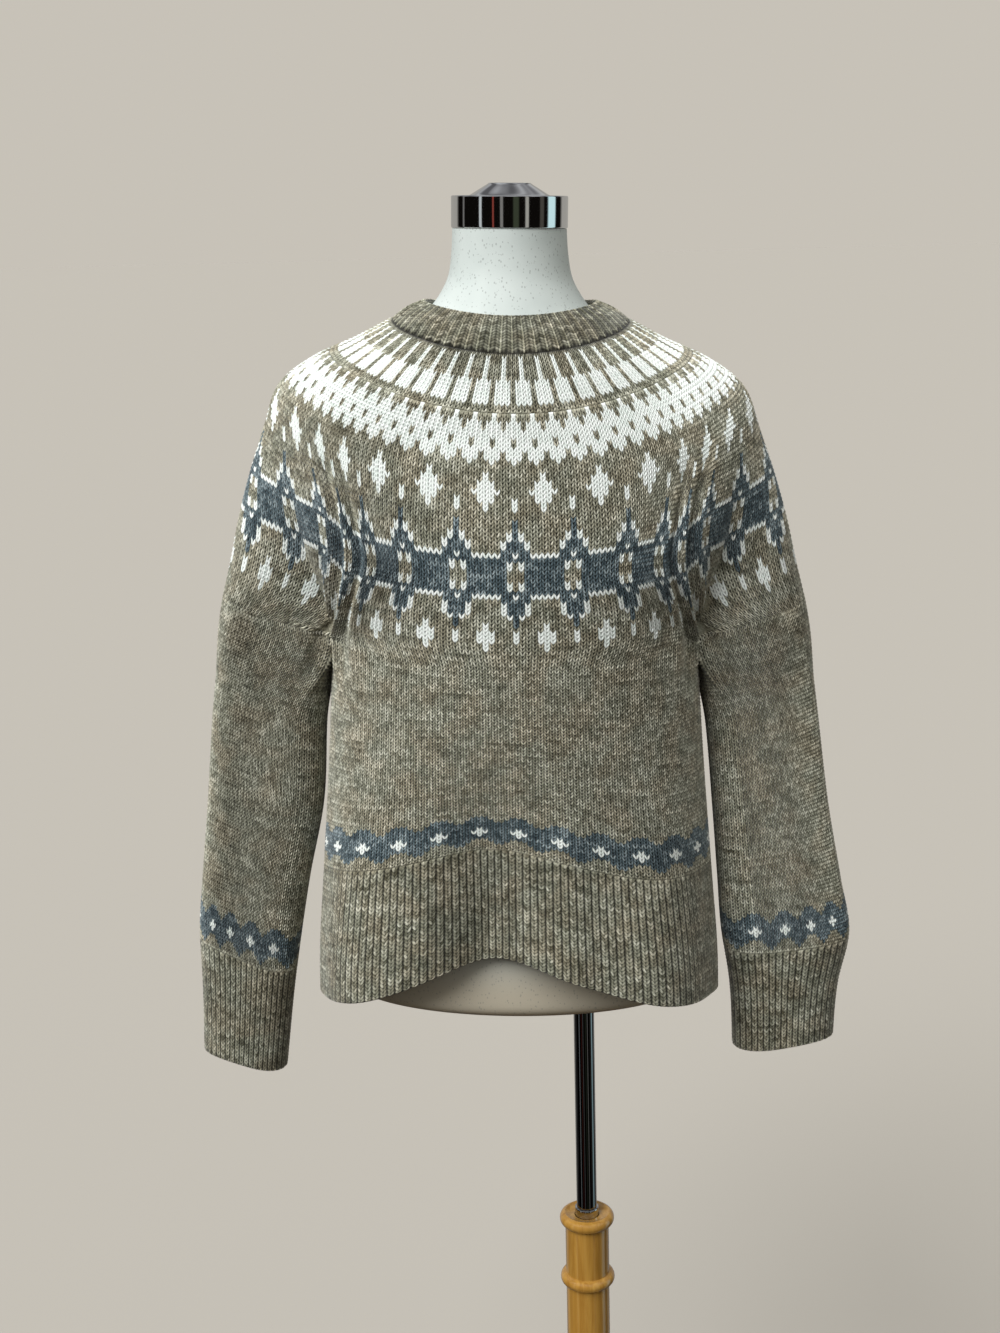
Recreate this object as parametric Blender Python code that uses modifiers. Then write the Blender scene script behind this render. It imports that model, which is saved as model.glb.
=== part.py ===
"""A round-yoke fair isle sweater worn by a limbless dress form on a turned wooden stand.

Metres, +Z up. The origin is the centre of the stand's flat underside, on the axis of the pole, and the
front of the sweater faces -Y. Left and right are the wearer's, so the left sleeve is at +X.

Places round the knitting are counted in pattern repeats of ten stitches. The yoke has 24 of them:
0 is the front centre, +6 the left shoulder, 12 the back centre. The body is 8 repeats of front,
1.5 under each arm and 8 of back, and a sleeve is 4 repeats that carry on from the yoke and 1.5 under
the arm. Heights in the tables are drops below DATUM.
"""
import math

import bmesh
import bpy
import numpy as np

OBJECT = "fair_isle_sweater_on_dress_form"

# Driving dimensions
DATUM = 1.470              # the level that drops are measured from, in the middle of the neck cap
WALL = 0.0026              # the knitted wall
NECKBAND_WALL = 0.0045     # the neckband is folded double
GAP = 0.0003               # between pieces that touch
RIB_RISE = 0.0011          # how far a rib stands out of its wall
SEAT = 0.0005              # between the form's shoulders and the yoke that rests on them
SPINE_X = -0.053           # the torso stands beside the pole
SPINE_LEAN = 0.011         # and leans this much a metre
TILT = 0.030               # the torso's left side hangs this much a metre lower
SIDE_FLAT = 0.020          # half of the straight stretch at the body's side

# Repeats
YOKE_HALF = 12.0
FRONT_CREASE = 4.0
BACK_CREASE = 8.0
UNDERARM = 1.5
BODY_HALF = YOKE_HALF - FRONT_CREASE + UNDERARM
SLEEVE_OUTER = BACK_CREASE - FRONT_CREASE
SLEEVE_ROUND = SLEEVE_OUTER + UNDERARM

# Columns and rows of the meshes
BODY_STEP = 1 / 3          # repeats between columns on the front and back
SLEEVE_STEP = 1 / 4        # and on the sleeves
UNDERARM_STEP = 1 / 4
REPEAT_WIDTH = 0.050       # of a repeat at the body's side
YOKE_ROWS = (0.0, 0.1, 0.2, 0.3, 0.37, 0.44, 0.53, 0.64, 0.76, 0.88, 1.0)
BODY_ROWS = 6
SLEEVE_ROWS = 8
HEM_RIBS = 150
CUFF_RIBS = 40
NECK_RIBS = 72
HEM_ROWS = 1
CUFF_ROWS = 2
TOP_CLOSER = 1.15          # over 1 brings a sleeve's rows closer together at its top
ROUND_SIDES = 24
BASE_SIDES = 36

# Stand
POLE_RADIUS = 0.00975
FERRULE_RADIUS = 0.0115
COLUMN_RADIUS = 0.0210
BEAD_RADIUS = 0.0265
BEAD_HALF = 0.006
COLLAR_Z = 0.512
RING_Z = 0.448
FERRULE_RISE = 0.006
FERRULE_SEAT = 0.025
FERRULE_CHAMFER = 0.0008
POLE_SOCKET = 0.150
FORM_SOCKET = 0.060
FOOT_RADIUS = 0.032
BASE_RADIUS = 0.190
BASE_HEIGHT = 0.030
FOOT_HEIGHT = 0.020
CAP_RADIUS = 0.0500
CAP_TOP = -0.0110
CAP_BOTTOM = 0.0158


def table(columns, *rows):
    """Rows of numbers under named columns, as one array a column."""
    return dict(zip(columns.split(), np.array(rows, float).T))


# The yoke from the neck seam (0) to the underarm (1): half width, front and back reach, and drops
YOKE = table(
    "t half_width front back drop_front drop_side drop_back",
    (0.000, 0.1020, 0.0945, 0.0880, 0.115, 0.0930, 0.094),
    (0.125, 0.1365, 0.1050, 0.0990, 0.145, 0.1110, 0.117),
    (0.250, 0.1725, 0.1130, 0.1080, 0.177, 0.1270, 0.145),
    (0.375, 0.2025, 0.1200, 0.1135, 0.210, 0.1500, 0.178),
    (0.500, 0.2165, 0.1255, 0.1150, 0.243, 0.1855, 0.214),
    (0.625, 0.2300, 0.1290, 0.1145, 0.276, 0.2225, 0.251),
    (0.750, 0.2412, 0.1310, 0.1120, 0.309, 0.2595, 0.288),
    (0.875, 0.2500, 0.1315, 0.1090, 0.342, 0.2975, 0.325),
    (1.000, 0.2590, 0.1310, 0.1050, 0.374, 0.3350, 0.360),
)
CREASE_START = 0.42        # where down the yoke the folds at the arms begin
UPRIGHT_SHARE = 0.3        # the share of the yoke over which its wall turns upright, above its edge
CREASE_DROP_FRONT = 0.366  # the drop of the yoke's edge at the folds
CREASE_DROP_BACK = 0.360
UNDERARM_DROP = 0.372
SLEEVE_FRONT_BULGE = 0.008

# The body below the underarm
BODY = table(
    "drop half_width front back",
    (0.330, 0.162, 0.131, 0.107),
    (0.372, 0.162, 0.131, 0.105),
    (0.450, 0.166, 0.132, 0.101),
    (0.530, 0.172, 0.133, 0.102),
    (0.600, 0.178, 0.134, 0.110),
    (0.660, 0.183, 0.136, 0.116),
    (0.730, 0.185, 0.137, 0.118),
)
# Where the rib starts and where the hem ends, round the body: it rides up at the front
BODY_LINES = table(
    "place rib hem",
    (-9.50, 0.585, 0.712),
    (-4.75, 0.585, 0.710),
    (-2.90, 0.565, 0.688),
    (-0.50, 0.536, 0.643),
    (2.40, 0.566, 0.682),
    (4.75, 0.576, 0.704),
    (9.50, 0.585, 0.712),
)
# Soft folds that hang from the bust and the shoulder blades: outwards is positive, full at the hem
BODY_FOLDS = table(
    "place width depth start",
    (-0.5, 1.6, -0.034, 0.40),
    (-2.9, 1.2, 0.010, 0.43),
    (2.5, 1.4, 0.014, 0.43),
    (-7.7, 1.1, -0.008, 0.42),
    (8.2, 1.3, -0.009, 0.42),
    (-9.4, 1.2, 0.006, 0.45),
)
FOLDS_FULL = 0.68

# The sleeves: distances from the spine, half of the flattened depth, and the depth's middle
SLEEVE = {
    "left": table(
        "drop inner outer half_depth middle",
        (0.330, 0.158, 0.259, 0.034, 0.000),
        (0.372, 0.160, 0.264, 0.034, -0.001),
        (0.440, 0.172, 0.273, 0.033, -0.004),
        (0.530, 0.1805, 0.285, 0.032, -0.008),
        (0.600, 0.186, 0.298, 0.031, -0.010),
        (0.650, 0.190, 0.307, 0.031, -0.011),
        (0.700, 0.198, 0.298, 0.028, -0.012),
        (0.790, 0.203, 0.294, 0.025, -0.012),
    ),
    "right": table(
        "drop inner outer half_depth middle",
        (0.330, 0.158, 0.259, 0.034, 0.000),
        (0.372, 0.160, 0.264, 0.034, -0.001),
        (0.440, 0.171, 0.273, 0.033, -0.004),
        (0.530, 0.178, 0.282, 0.032, -0.008),
        (0.600, 0.193, 0.290, 0.031, -0.010),
        (0.650, 0.202, 0.295, 0.030, -0.011),
        (0.700, 0.210, 0.295, 0.027, -0.012),
        (0.800, 0.223, 0.298, 0.024, -0.012),
    ),
}
# Drops of the cuff's seam and end, on the inner and outer side of the sleeve
CUFF = {
    "left": {"seam": (0.666, 0.655), "end": (0.766, 0.753)},
    "right": {"seam": (0.688, 0.659), "end": (0.788, 0.770)},
}
SLEEVE_FULLNESS = 2.4      # the exponent of the flattened section
SLEEVE_FLATNESS = 0.32     # the section's depth over its width, as far as its stitches are spaced by it
SLEEVE_BLEND = 0.080       # how far below the underarm the section is its own

# The neckband from the neck seam (0) to its folded top edge (1)
NECKBAND = table(
    "w half_width front back drop_front drop_side drop_back",
    (0.00, 0.1020, 0.0945, 0.0880, 0.1150, 0.0930, 0.0940),
    (0.50, 0.0892, 0.0842, 0.0785, 0.0990, 0.0835, 0.0875),
    (1.00, 0.0735, 0.0705, 0.0662, 0.0850, 0.0765, 0.0835),
)

# The form: its neck, then under the yoke its own shoulders, then the torso
FORM_NECK = table(
    "half_width front back drop_front drop_side drop_back",
    (0.0490, 0.0490, 0.0490, 0.0161, 0.0161, 0.0161),
    (0.0500, 0.0500, 0.0500, 0.0350, 0.0350, 0.0350),
    (0.0530, 0.0530, 0.0530, 0.0550, 0.0550, 0.0550),
    (0.0600, 0.0590, 0.0590, 0.0740, 0.0700, 0.0780),
    (0.0700, 0.0670, 0.0660, 0.0940, 0.0830, 0.0950),
    (0.0880, 0.0790, 0.0770, 0.1140, 0.0985, 0.1080),
)
FORM_SHOULDER_ROWS = (0.1, 0.2, 0.3)
FORM_CLEAR = 0.002         # how much further it keeps from the yoke at the front and back
FORM_CLEAR_GROWTH = 0.010  # and more down the yoke
FORM_TORSO = table(
    "half_width front back drop_front drop_side drop_back",
    (0.1900, 0.1120, 0.1050, 0.225, 0.160, 0.200),
    (0.1830, 0.1160, 0.1050, 0.255, 0.200, 0.235),
    (0.1600, 0.1180, 0.1000, 0.290, 0.265, 0.280),
    (0.1480, 0.1140, 0.0900, 0.340, 0.340, 0.340),
    (0.1320, 0.0990, 0.0840, 0.430, 0.430, 0.430),
    (0.1260, 0.0900, 0.0850, 0.500, 0.500, 0.500),
    (0.1380, 0.0890, 0.0900, 0.570, 0.570, 0.570),
    (0.1570, 0.0900, 0.0950, 0.640, 0.640, 0.640),
    (0.1640, 0.0890, 0.0970, 0.685, 0.685, 0.685),
    (0.1630, 0.0870, 0.0950, 0.701, 0.701, 0.701),
    (0.1560, 0.0800, 0.0880, 0.708, 0.708, 0.708),
)

# The column below its ring, and the cap above its flat rim
COLUMN = table(
    "radius z",
    (0.0220, 0.200),
    (0.0240, 0.100),
)
CAP_DOME = table(
    "radius rise",
    (0.0000, 0.0105),
    (0.0165, 0.0105),
    (0.0195, 0.0093),
    (0.0335, 0.0008),
    (0.0355, 0.0000),
)
CAP_CHAMFER = 0.0012
RIM_SIZE = (0.010, 0.009)  # the rounding of the base's rim, inwards and up

MATERIALS = {
    "knit_wool": ((0.27, 0.22, 0.17, 1), 0.95, 0.0),
    "form_shell": ((0.72, 0.72, 0.69, 1), 0.60, 0.0),
    "chrome": ((0.60, 0.60, 0.60, 1), 0.08, 1.0),
    "varnished_wood": ((0.50, 0.30, 0.10, 1), 0.25, 0.0),
}


def smooth(at, xs, ys):
    """The cubic through (xs, ys) whose slope at each point is that of the parabola through three."""
    at = np.clip(at, xs[0], xs[-1])
    slopes = np.gradient(ys, xs)
    i = np.clip(np.searchsorted(xs, at, side="right") - 1, 0, len(xs) - 2)
    step = xs[i + 1] - xs[i]
    s = (at - xs[i]) / step
    start = (2 * s**3 - 3 * s**2 + 1) * ys[i] + (s**3 - 2 * s**2 + s) * step * slopes[i]
    end = (3 * s**2 - 2 * s**3) * ys[i + 1] + (s**3 - s**2) * step * slopes[i + 1]
    return start + end


def ease(x):
    """0 below 0, 1 above 1, and a smooth step between."""
    x = np.clip(x, 0.0, 1.0)
    return x * x * (3 - 2 * x)


def ring_drop(phi, front, side, back):
    """The drop round a ring that has these drops at its front, sides and back."""
    middle = (front + back) / 2
    return (middle + side) / 2 + (front - back) / 2 * np.cos(phi) + (middle - side) / 2 * np.cos(2 * phi)


def ellipse_ring(phi, half_width, front, back, drops):
    """An egg-shaped ring: phi is 0 at the front and a quarter turn at +X."""
    x = half_width * np.sin(phi)
    y = -np.where(np.cos(phi) > 0, front, back) * np.cos(phi)
    return np.stack([x, y, ring_drop(phi, *drops)], -1)


def by_length(path, count_at):
    """Reads the path, a dense polyline, at these fractions of its length."""
    run = np.concatenate([[0], np.cumsum(np.linalg.norm(np.diff(path, axis=0), axis=1))])
    return np.stack([np.interp(np.asarray(count_at) * run[-1], run, axis) for axis in path.T], -1)


def outline(p, half_width, front, back):
    """Half of a body section in plan: p is 0 to 1 on the front, to 2 on the side, to 3 on the back."""
    turn_front = np.clip(p, 0, 1) * math.pi / 2
    turn_back = np.clip(p - 2, 0, 1) * math.pi / 2
    x = half_width * np.where(p < 1.5, np.sin(turn_front), np.cos(turn_back))
    y = (2 * np.clip(p - 1, 0, 1) - 1) * SIDE_FLAT
    y = y - (front - SIDE_FLAT) * np.cos(turn_front) + (back - SIDE_FLAT) * np.sin(turn_back)
    return x, y


def body_table(drop):
    return [smooth(drop, BODY["drop"], BODY[key]) for key in ("half_width", "front", "back")]


def outline_place():
    """Which p of the outline each place of the body has, so that its stitches are equally wide."""
    p = np.linspace(0, 3, 601)
    x, y = outline(p, *body_table(np.full(p.shape, UNDERARM_DROP)))
    run = np.concatenate([[0], np.cumsum(np.hypot(np.diff(x), np.diff(y)))])
    return p, run / run[-1] * BODY_HALF


OUTLINE_P, OUTLINE_PLACE = outline_place()


def fold_depth(place, drop):
    """How far the body's folds move its wall outwards."""
    total = np.zeros(np.shape(place))
    for at, width, depth, start in zip(*BODY_FOLDS.values()):
        away = np.abs((place - at + BODY_HALF) % (2 * BODY_HALF) - BODY_HALF)
        shape = 0.5 + 0.5 * np.cos(math.pi * np.clip(away / width, 0, 1))
        total += depth * shape * ease((drop - start) / (FOLDS_FULL - start))
    return total


def body_plan(place, drop):
    """The body's outer surface at a place round it and a drop, relative to the spine."""
    p = np.interp(np.abs(place), OUTLINE_PLACE, OUTLINE_P)
    sizes = body_table(drop)
    x, y = outline(p, *sizes)
    x_on, y_on = outline(np.minimum(p + 0.01, 3), *sizes)
    x_off, y_off = outline(np.maximum(p - 0.01, 0), *sizes)
    along = np.stack([x_on - x_off, y_on - y_off])
    along = along / np.linalg.norm(along, axis=0)
    depth = fold_depth(place, drop)
    side = np.where(place < 0, -1.0, 1.0)
    return np.stack([side * (x + along[1] * depth), y - along[0] * depth, drop + 0 * x], -1)


def armhole_arc(fraction, half_width):
    """The flat outer face of the sleeve where the yoke ends, from the front fold (0) to the back (1)."""
    front = body_plan(np.array(FRONT_CREASE), np.array(UNDERARM_DROP))
    back = body_plan(np.array(FRONT_CREASE + UNDERARM), np.array(UNDERARM_DROP))
    turn = np.linspace(0, math.pi / 2, 91)
    power = 2 / SLEEVE_FULLNESS
    out, along = np.sin(turn) ** power, np.cos(turn) ** power
    bulge = SLEEVE_FRONT_BULGE * np.sin(2 * turn)
    faces = []
    for crease, sign in ((front, -1), (back, 1)):
        x = crease[0] + (half_width - crease[0]) * out
        y = sign * (abs(crease[1]) * along + bulge)
        drop = CREASE_DROP_FRONT if sign < 0 else CREASE_DROP_BACK
        z = drop + (YOKE["drop_side"][-1] - drop) * out
        faces.append(np.stack([x, y, z], -1))
    halves = [by_length(faces[0], np.linspace(0, 1, 60)), by_length(faces[1], np.linspace(0, 1, 60))]
    path = np.concatenate([halves[0], halves[1][::-1][1:]])
    at = np.linspace(0, 1, len(path))
    return np.stack([np.interp(fraction, at, axis) for axis in path.T], -1)


def creased_ring(u, t):
    """A yoke ring as it is at the underarm: body in front and behind, flat sleeves at the sides."""
    place = np.abs(u)
    side = np.where(u < 0, -1.0, 1.0)
    half_width, front_drop, back_drop = (
        smooth(t, YOKE["t"], YOKE[key]) for key in ("half_width", "drop_front", "drop_back"))
    slack = front_drop - YOKE["drop_front"][-1]
    body_place = np.where(place <= FRONT_CREASE, place, place - BACK_CREASE + FRONT_CREASE + UNDERARM)
    body = body_plan(side * body_place, np.full(np.shape(u), UNDERARM_DROP))
    near_front = place <= (FRONT_CREASE + BACK_CREASE) / 2
    off_centre = np.where(near_front, place, YOKE_HALF - place) / FRONT_CREASE
    edge = np.where(near_front, CREASE_DROP_FRONT, CREASE_DROP_BACK) + slack
    body[..., 2] = np.where(near_front, front_drop, back_drop) * (1 - off_centre**2) + edge * off_centre**2
    arc = armhole_arc(np.clip((place - FRONT_CREASE) / SLEEVE_OUTER, 0, 1), YOKE["half_width"][-1])
    arc[..., 0] = side * (arc[..., 0] + (half_width - YOKE["half_width"][-1]) * off_centre_side(place))
    arc[..., 2] += slack
    on_sleeve = (place > FRONT_CREASE) & (place < BACK_CREASE)
    return np.where(on_sleeve[..., None], arc, body)


def off_centre_side(place):
    """1 at the sleeve's outer fold, 0 at the armpit folds."""
    return 1 - np.clip(np.abs(place - 6) / 2, 0, 1)


def yoke(u, t):
    """The yoke's outer surface: an egg-shaped ring at the neck that turns into the creased ring."""
    u, t = np.broadcast_arrays(np.asarray(u, float), np.asarray(t, float))
    sizes = [smooth(t, YOKE["t"], YOKE[key]) for key in list(YOKE)[1:]]
    plain = ellipse_ring(u / YOKE_HALF * math.pi, *sizes[:3], sizes[3:])
    share = ease((t - CREASE_START) / (1 - CREASE_START))[..., None]
    return plain * (1 - share) + creased_ring(u, t) * share


def yoke_normal(u, t):
    """Outward normals of the yoke, level at its lower edge, where the walls hang straight."""
    step = 1e-3
    across = yoke(u + step, t) - yoke(u - step, t)
    down = yoke(u, np.minimum(t + step, 1)) - yoke(u, np.maximum(t - step, 0))
    across[..., 2] *= -1
    down[..., 2] *= -1
    normal = np.cross(down, across)
    normal[..., 2] *= ease((1 - t) / UPRIGHT_SHARE)
    return normal / np.linalg.norm(normal, axis=-1, keepdims=True)


def placed(points):
    """From spine distances and drops to the part's own frame."""
    points = np.array(points, float)
    across, drop = points[..., 0].copy(), points[..., 2].copy()
    points[..., 0] += SPINE_X - SPINE_LEAN * drop
    points[..., 2] = DATUM - drop - TILT * across
    return points


def level_normals(rings, closed):
    """Outward normals in plan of rings that run from front to +X to back."""
    if closed:
        along = np.roll(rings, -1, 1) - np.roll(rings, 1, 1)
    else:
        along = np.gradient(rings, axis=1)
    normal = np.stack([along[..., 1], -along[..., 0], np.zeros(along.shape[:2])], -1)
    return normal / np.linalg.norm(normal, axis=-1, keepdims=True)


def wall(name, outer, inner, material, closed=True):
    """A closed shell between two grids of points. The outer one may have twice the inner columns."""
    rows, fine = outer.shape[:2]
    coarse = inner.shape[1]
    step = fine // coarse
    shell = bmesh.new()
    outside = [[shell.verts.new(p) for p in row] for row in outer]
    inside = [[shell.verts.new(p) for p in row] for row in inner]
    for grid, count in ((outside, fine), (inside, coarse)):
        for i in range(rows - 1):
            for j in range(count if closed else count - 1):
                k = (j + 1) % count
                shell.faces.new((grid[i][j], grid[i][k], grid[i + 1][k], grid[i + 1][j]))
    for row in (0, rows - 1):
        for j in range(coarse if closed else coarse - 1):
            k = (j + 1) % coarse
            edge = [outside[row][(j * step + n) % fine] for n in range(step + 1)]
            if step == 1:
                shell.faces.new((edge[0], edge[1], inside[row][k], inside[row][j]))
            else:
                shell.faces.new((edge[0], edge[1], inside[row][j]))
                shell.faces.new((edge[1], inside[row][k], inside[row][j]))
                shell.faces.new((edge[1], edge[2], inside[row][k]))
    if not closed:
        for j in (0, -1):
            for i in range(rows - 1):
                shell.faces.new((outside[i][j], outside[i + 1][j], inside[i + 1][j], inside[i][j]))
    return solid(name, shell, material)


def solid(name, shell, material):
    """The mesh as an object of its own, faces pointing out."""
    bmesh.ops.recalc_face_normals(shell, faces=shell.faces)
    mesh = bpy.data.meshes.new(name)
    shell.to_mesh(mesh)
    shell.free()
    mesh.shade_smooth()
    mesh.set_sharp_from_angle(angle=math.radians(40))
    return added(name, mesh, material)


def added(name, mesh, material):
    piece = bpy.data.objects.new(name, mesh)
    piece.data.materials.append(material_named(material))
    bpy.data.collections[OBJECT].objects.link(piece)
    return piece


def material_named(name):
    if name in bpy.data.materials:
        return bpy.data.materials[name]
    colour, roughness, metallic = MATERIALS[name]
    material = bpy.data.materials.new(name)
    material.use_nodes = True
    shader = material.node_tree.nodes["Principled BSDF"]
    shader.inputs["Base Color"].default_value = colour
    shader.inputs["Roughness"].default_value = roughness
    shader.inputs["Metallic"].default_value = metallic
    return material


def ribbed(rings, count):
    """Reads closed rings at two columns a rib, crest and furrow, and gives those points and crests."""
    columns = rings.shape[1]
    at = np.arange(2 * count) / (2 * count) * columns
    low = np.floor(at).astype(int) % columns
    high = (low + 1) % columns
    part = (at - np.floor(at))[None, :, None]
    points = rings[:, low] * (1 - part) + rings[:, high] * part
    crest = np.where(np.arange(2 * count) % 2, RIB_RISE, 0.0)[None, :, None]
    return points, crest


def yoke_columns():
    """The columns round the yoke, closer on the sleeves than on the front and back."""
    front = np.arange(-FRONT_CREASE, FRONT_CREASE - 0.01, BODY_STEP)
    sleeve = np.arange(FRONT_CREASE, BACK_CREASE - 0.01, SLEEVE_STEP)
    back = np.arange(BACK_CREASE, YOKE_HALF * 2 - BACK_CREASE - 0.01, BODY_STEP)
    around = np.concatenate([front, sleeve, back, sleeve + 2 * YOKE_HALF - FRONT_CREASE - BACK_CREASE])
    return (around + YOKE_HALF) % (2 * YOKE_HALF) - YOKE_HALF


def make_yoke():
    u = yoke_columns()[None, :]
    t = np.array(YOKE_ROWS)[:, None]
    points = yoke(u, t)
    normals = yoke_normal(u + 0 * t, t + 0 * u)
    outer = placed(points)
    wall("yoke", outer, outer - WALL * normals, "knit_wool")


def neck_rings(u, w):
    sizes = [smooth(w, NECKBAND["w"], NECKBAND[key]) for key in list(NECKBAND)[1:]]
    return ellipse_ring(u / YOKE_HALF * math.pi, *sizes[:3], sizes[3:])


def make_neckband():
    u = np.arange(2 * NECK_RIBS)[None, :] / NECK_RIBS * YOKE_HALF
    w = NECKBAND["w"][:, None] + 0 * u
    u = u + 0 * w
    points = placed(neck_rings(u, w))
    up = placed(neck_rings(u, np.minimum(w + 0.01, 1))) - placed(neck_rings(u, np.maximum(w - 0.01, 0)))
    up = up / np.linalg.norm(up, axis=-1, keepdims=True)
    across = np.roll(points, -1, 1) - np.roll(points, 1, 1)
    normal = np.cross(across, up)
    normal = normal / np.linalg.norm(normal, axis=-1, keepdims=True)
    seam = yoke_normal((u[0] + YOKE_HALF) % (2 * YOKE_HALF) - YOKE_HALF, 0 * u[0])
    normal[0] = seam
    points[0] += GAP * up[0]
    crest = np.where(np.arange(2 * NECK_RIBS) % 2, RIB_RISE, 0.0)[None, :, None]
    rounding = np.array([0.0, 1.0, 0.4])[:, None, None]
    outer = points + crest * rounding * normal
    inner = (points - NECKBAND_WALL * normal)[:, ::2]
    wall("neckband", outer, inner, "knit_wool")


def body_columns():
    """Places round the half of the body that is the front panel, and round the back panel."""
    front_edge = FRONT_CREASE + UNDERARM / 2
    seam = GAP / 2 / REPEAT_WIDTH
    panel = np.arange(-FRONT_CREASE, FRONT_CREASE + 0.01, BODY_STEP)
    under = np.arange(FRONT_CREASE + UNDERARM_STEP, front_edge - 0.01, UNDERARM_STEP)
    side = np.append(under, front_edge - seam)
    front = np.concatenate([-side[::-1], panel, side])
    back = BODY_HALF - front
    return front, np.where(back > BODY_HALF, back - 2 * BODY_HALF, back)


def underarm_line(place):
    """The drop of the yoke's lower edge above each place of the body."""
    size = np.abs(place)
    back = BODY_HALF - size
    middle = FRONT_CREASE + UNDERARM / 2
    front_drop, back_drop = YOKE["drop_front"][-1], YOKE["drop_back"][-1]
    front_edge = front_drop + (CREASE_DROP_FRONT - front_drop) * (size / FRONT_CREASE) ** 2
    back_edge = back_drop + (CREASE_DROP_BACK - back_drop) * (back / FRONT_CREASE) ** 2
    near = np.where(size < middle, CREASE_DROP_FRONT, CREASE_DROP_BACK)
    away = np.clip(np.abs(size - middle) / (UNDERARM / 2), 0, 1)
    under = UNDERARM_DROP + (near - UNDERARM_DROP) * away**2
    return np.where(size <= FRONT_CREASE, front_edge, np.where(back <= FRONT_CREASE, back_edge, under))


def body_line(place, key):
    return smooth(place, BODY_LINES["place"], BODY_LINES[key])


def make_body():
    for name, place in zip(("body_front", "body_back"), body_columns()):
        down = np.linspace(0, 1, BODY_ROWS + 1)[:, None]
        top = underarm_line(place) + GAP
        drop = top + (body_line(place, "rib") - GAP / 2 - top) * down
        outer = placed(body_plan(place + 0 * drop, drop))
        normal = level_normals(outer, closed=False)
        if name == "body_back":
            normal = -normal
        wall(name, outer, outer - WALL * normal, "knit_wool", closed=False)


def make_hem():
    front, back = body_columns()
    place = np.concatenate([front, back[::-1]])
    down = np.linspace(0, 1, HEM_ROWS + 1)[:, None]
    top = body_line(place, "rib") + GAP / 2
    drop = top + (body_line(place, "hem") - top) * down
    rings = placed(body_plan(place + 0 * drop, drop))
    points, crest = ribbed(rings, HEM_RIBS)
    normal = level_normals(points, closed=True)
    wall("hem_rib", points + crest * normal, (points - WALL * normal)[:, ::2], "knit_wool")


def sleeve_places():
    """Places round a sleeve, from the front fold over the outer face to the back fold and under."""
    outer = np.arange(0, SLEEVE_OUTER, SLEEVE_STEP)
    return np.concatenate([outer, np.arange(SLEEVE_OUTER, SLEEVE_ROUND - 0.01, UNDERARM_STEP)])


def across_sleeve(place):
    """0 on the sleeve's inner side, 1 on its outer side."""
    return (1 - np.cos(2 * math.pi * (place + UNDERARM / 2) / SLEEVE_ROUND)) / 2


def sleeve_section(place, drop, side):
    """The flattened section of a hanging sleeve, its stitches equally wide."""
    turn = np.linspace(0, 2 * math.pi, 241)
    power = 2 / SLEEVE_FULLNESS
    path = np.stack([
        -np.sign(np.cos(turn)) * np.abs(np.cos(turn)) ** power,
        -SLEEVE_FLATNESS * np.sign(np.sin(turn)) * np.abs(np.sin(turn)) ** power], -1)
    unit = by_length(path, (place + UNDERARM / 2) / SLEEVE_ROUND % 1)
    rows = SLEEVE[side]
    inner, outer, half_depth, middle = (
        smooth(drop, rows["drop"], rows[key]) for key in ("inner", "outer", "half_depth", "middle"))
    x = (inner + outer) / 2 + (outer - inner) / 2 * unit[..., 0]
    return np.stack([x, middle + half_depth / SLEEVE_FLATNESS * unit[..., 1], drop + 0 * x], -1)


def armhole_plan(place, drop):
    """The sleeve's top edge in plan: the yoke's sleeve face, then back along the body's side."""
    face = armhole_arc(np.clip(place / SLEEVE_OUTER, 0, 1), YOKE["half_width"][-1])
    under = body_plan(FRONT_CREASE + SLEEVE_ROUND - np.clip(place, SLEEVE_OUTER, None), drop)
    under[..., 0] += GAP
    plan = np.where((place < SLEEVE_OUTER)[..., None], face, under)
    plan[..., 0] += np.where(place == 0, GAP, 0)
    plan[..., 2] = drop
    return plan


def armhole_line(place):
    """The drop of the sleeve's top edge."""
    face = armhole_arc(np.clip(place / SLEEVE_OUTER, 0, 1), YOKE["half_width"][-1])[..., 2]
    under = underarm_line(FRONT_CREASE + SLEEVE_ROUND - np.clip(place, SLEEVE_OUTER, None))
    return np.where(place < SLEEVE_OUTER, face, under)


def sleeve_rings(place, drop, side):
    place = place + 0 * drop
    share = ease((drop - armhole_line(place)) / SLEEVE_BLEND)[..., None]
    return armhole_plan(place, drop) * (1 - share) + sleeve_section(place, drop, side) * share


def cuff_line(place, side, key):
    inner, outer = CUFF[side][key]
    return inner + (outer - inner) * across_sleeve(place)


def mirrored(points, side):
    """The sleeves are worked out at +X, for the left one, and turned over for the right one."""
    if side == "right":
        points = points * (-1, 1, 1)
    return points


def make_sleeve(side):
    place = sleeve_places()
    down = np.linspace(0, 1, SLEEVE_ROWS + 1)[:, None] ** TOP_CLOSER
    top = armhole_line(place) + GAP
    drop = top + (cuff_line(place, side, "seam") - GAP / 2 - top) * down
    rings = sleeve_rings(place, drop, side)
    normal = level_normals(rings, closed=True)
    inner = rings - WALL * normal
    wall("sleeve_" + side, placed(mirrored(rings, side)), placed(mirrored(inner, side)), "knit_wool")


def make_cuff(side):
    place = sleeve_places()
    down = np.linspace(0, 1, CUFF_ROWS + 1)[:, None]
    top = cuff_line(place, side, "seam") + GAP / 2
    drop = top + (cuff_line(place, side, "end") - top) * down
    points, crest = ribbed(sleeve_rings(place, drop, side), CUFF_RIBS)
    normal = level_normals(points, closed=True)
    outer = points + crest * normal
    inner = (points - WALL * normal)[:, ::2]
    wall("cuff_" + side, placed(mirrored(outer, side)), placed(mirrored(inner, side)), "knit_wool")


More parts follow.
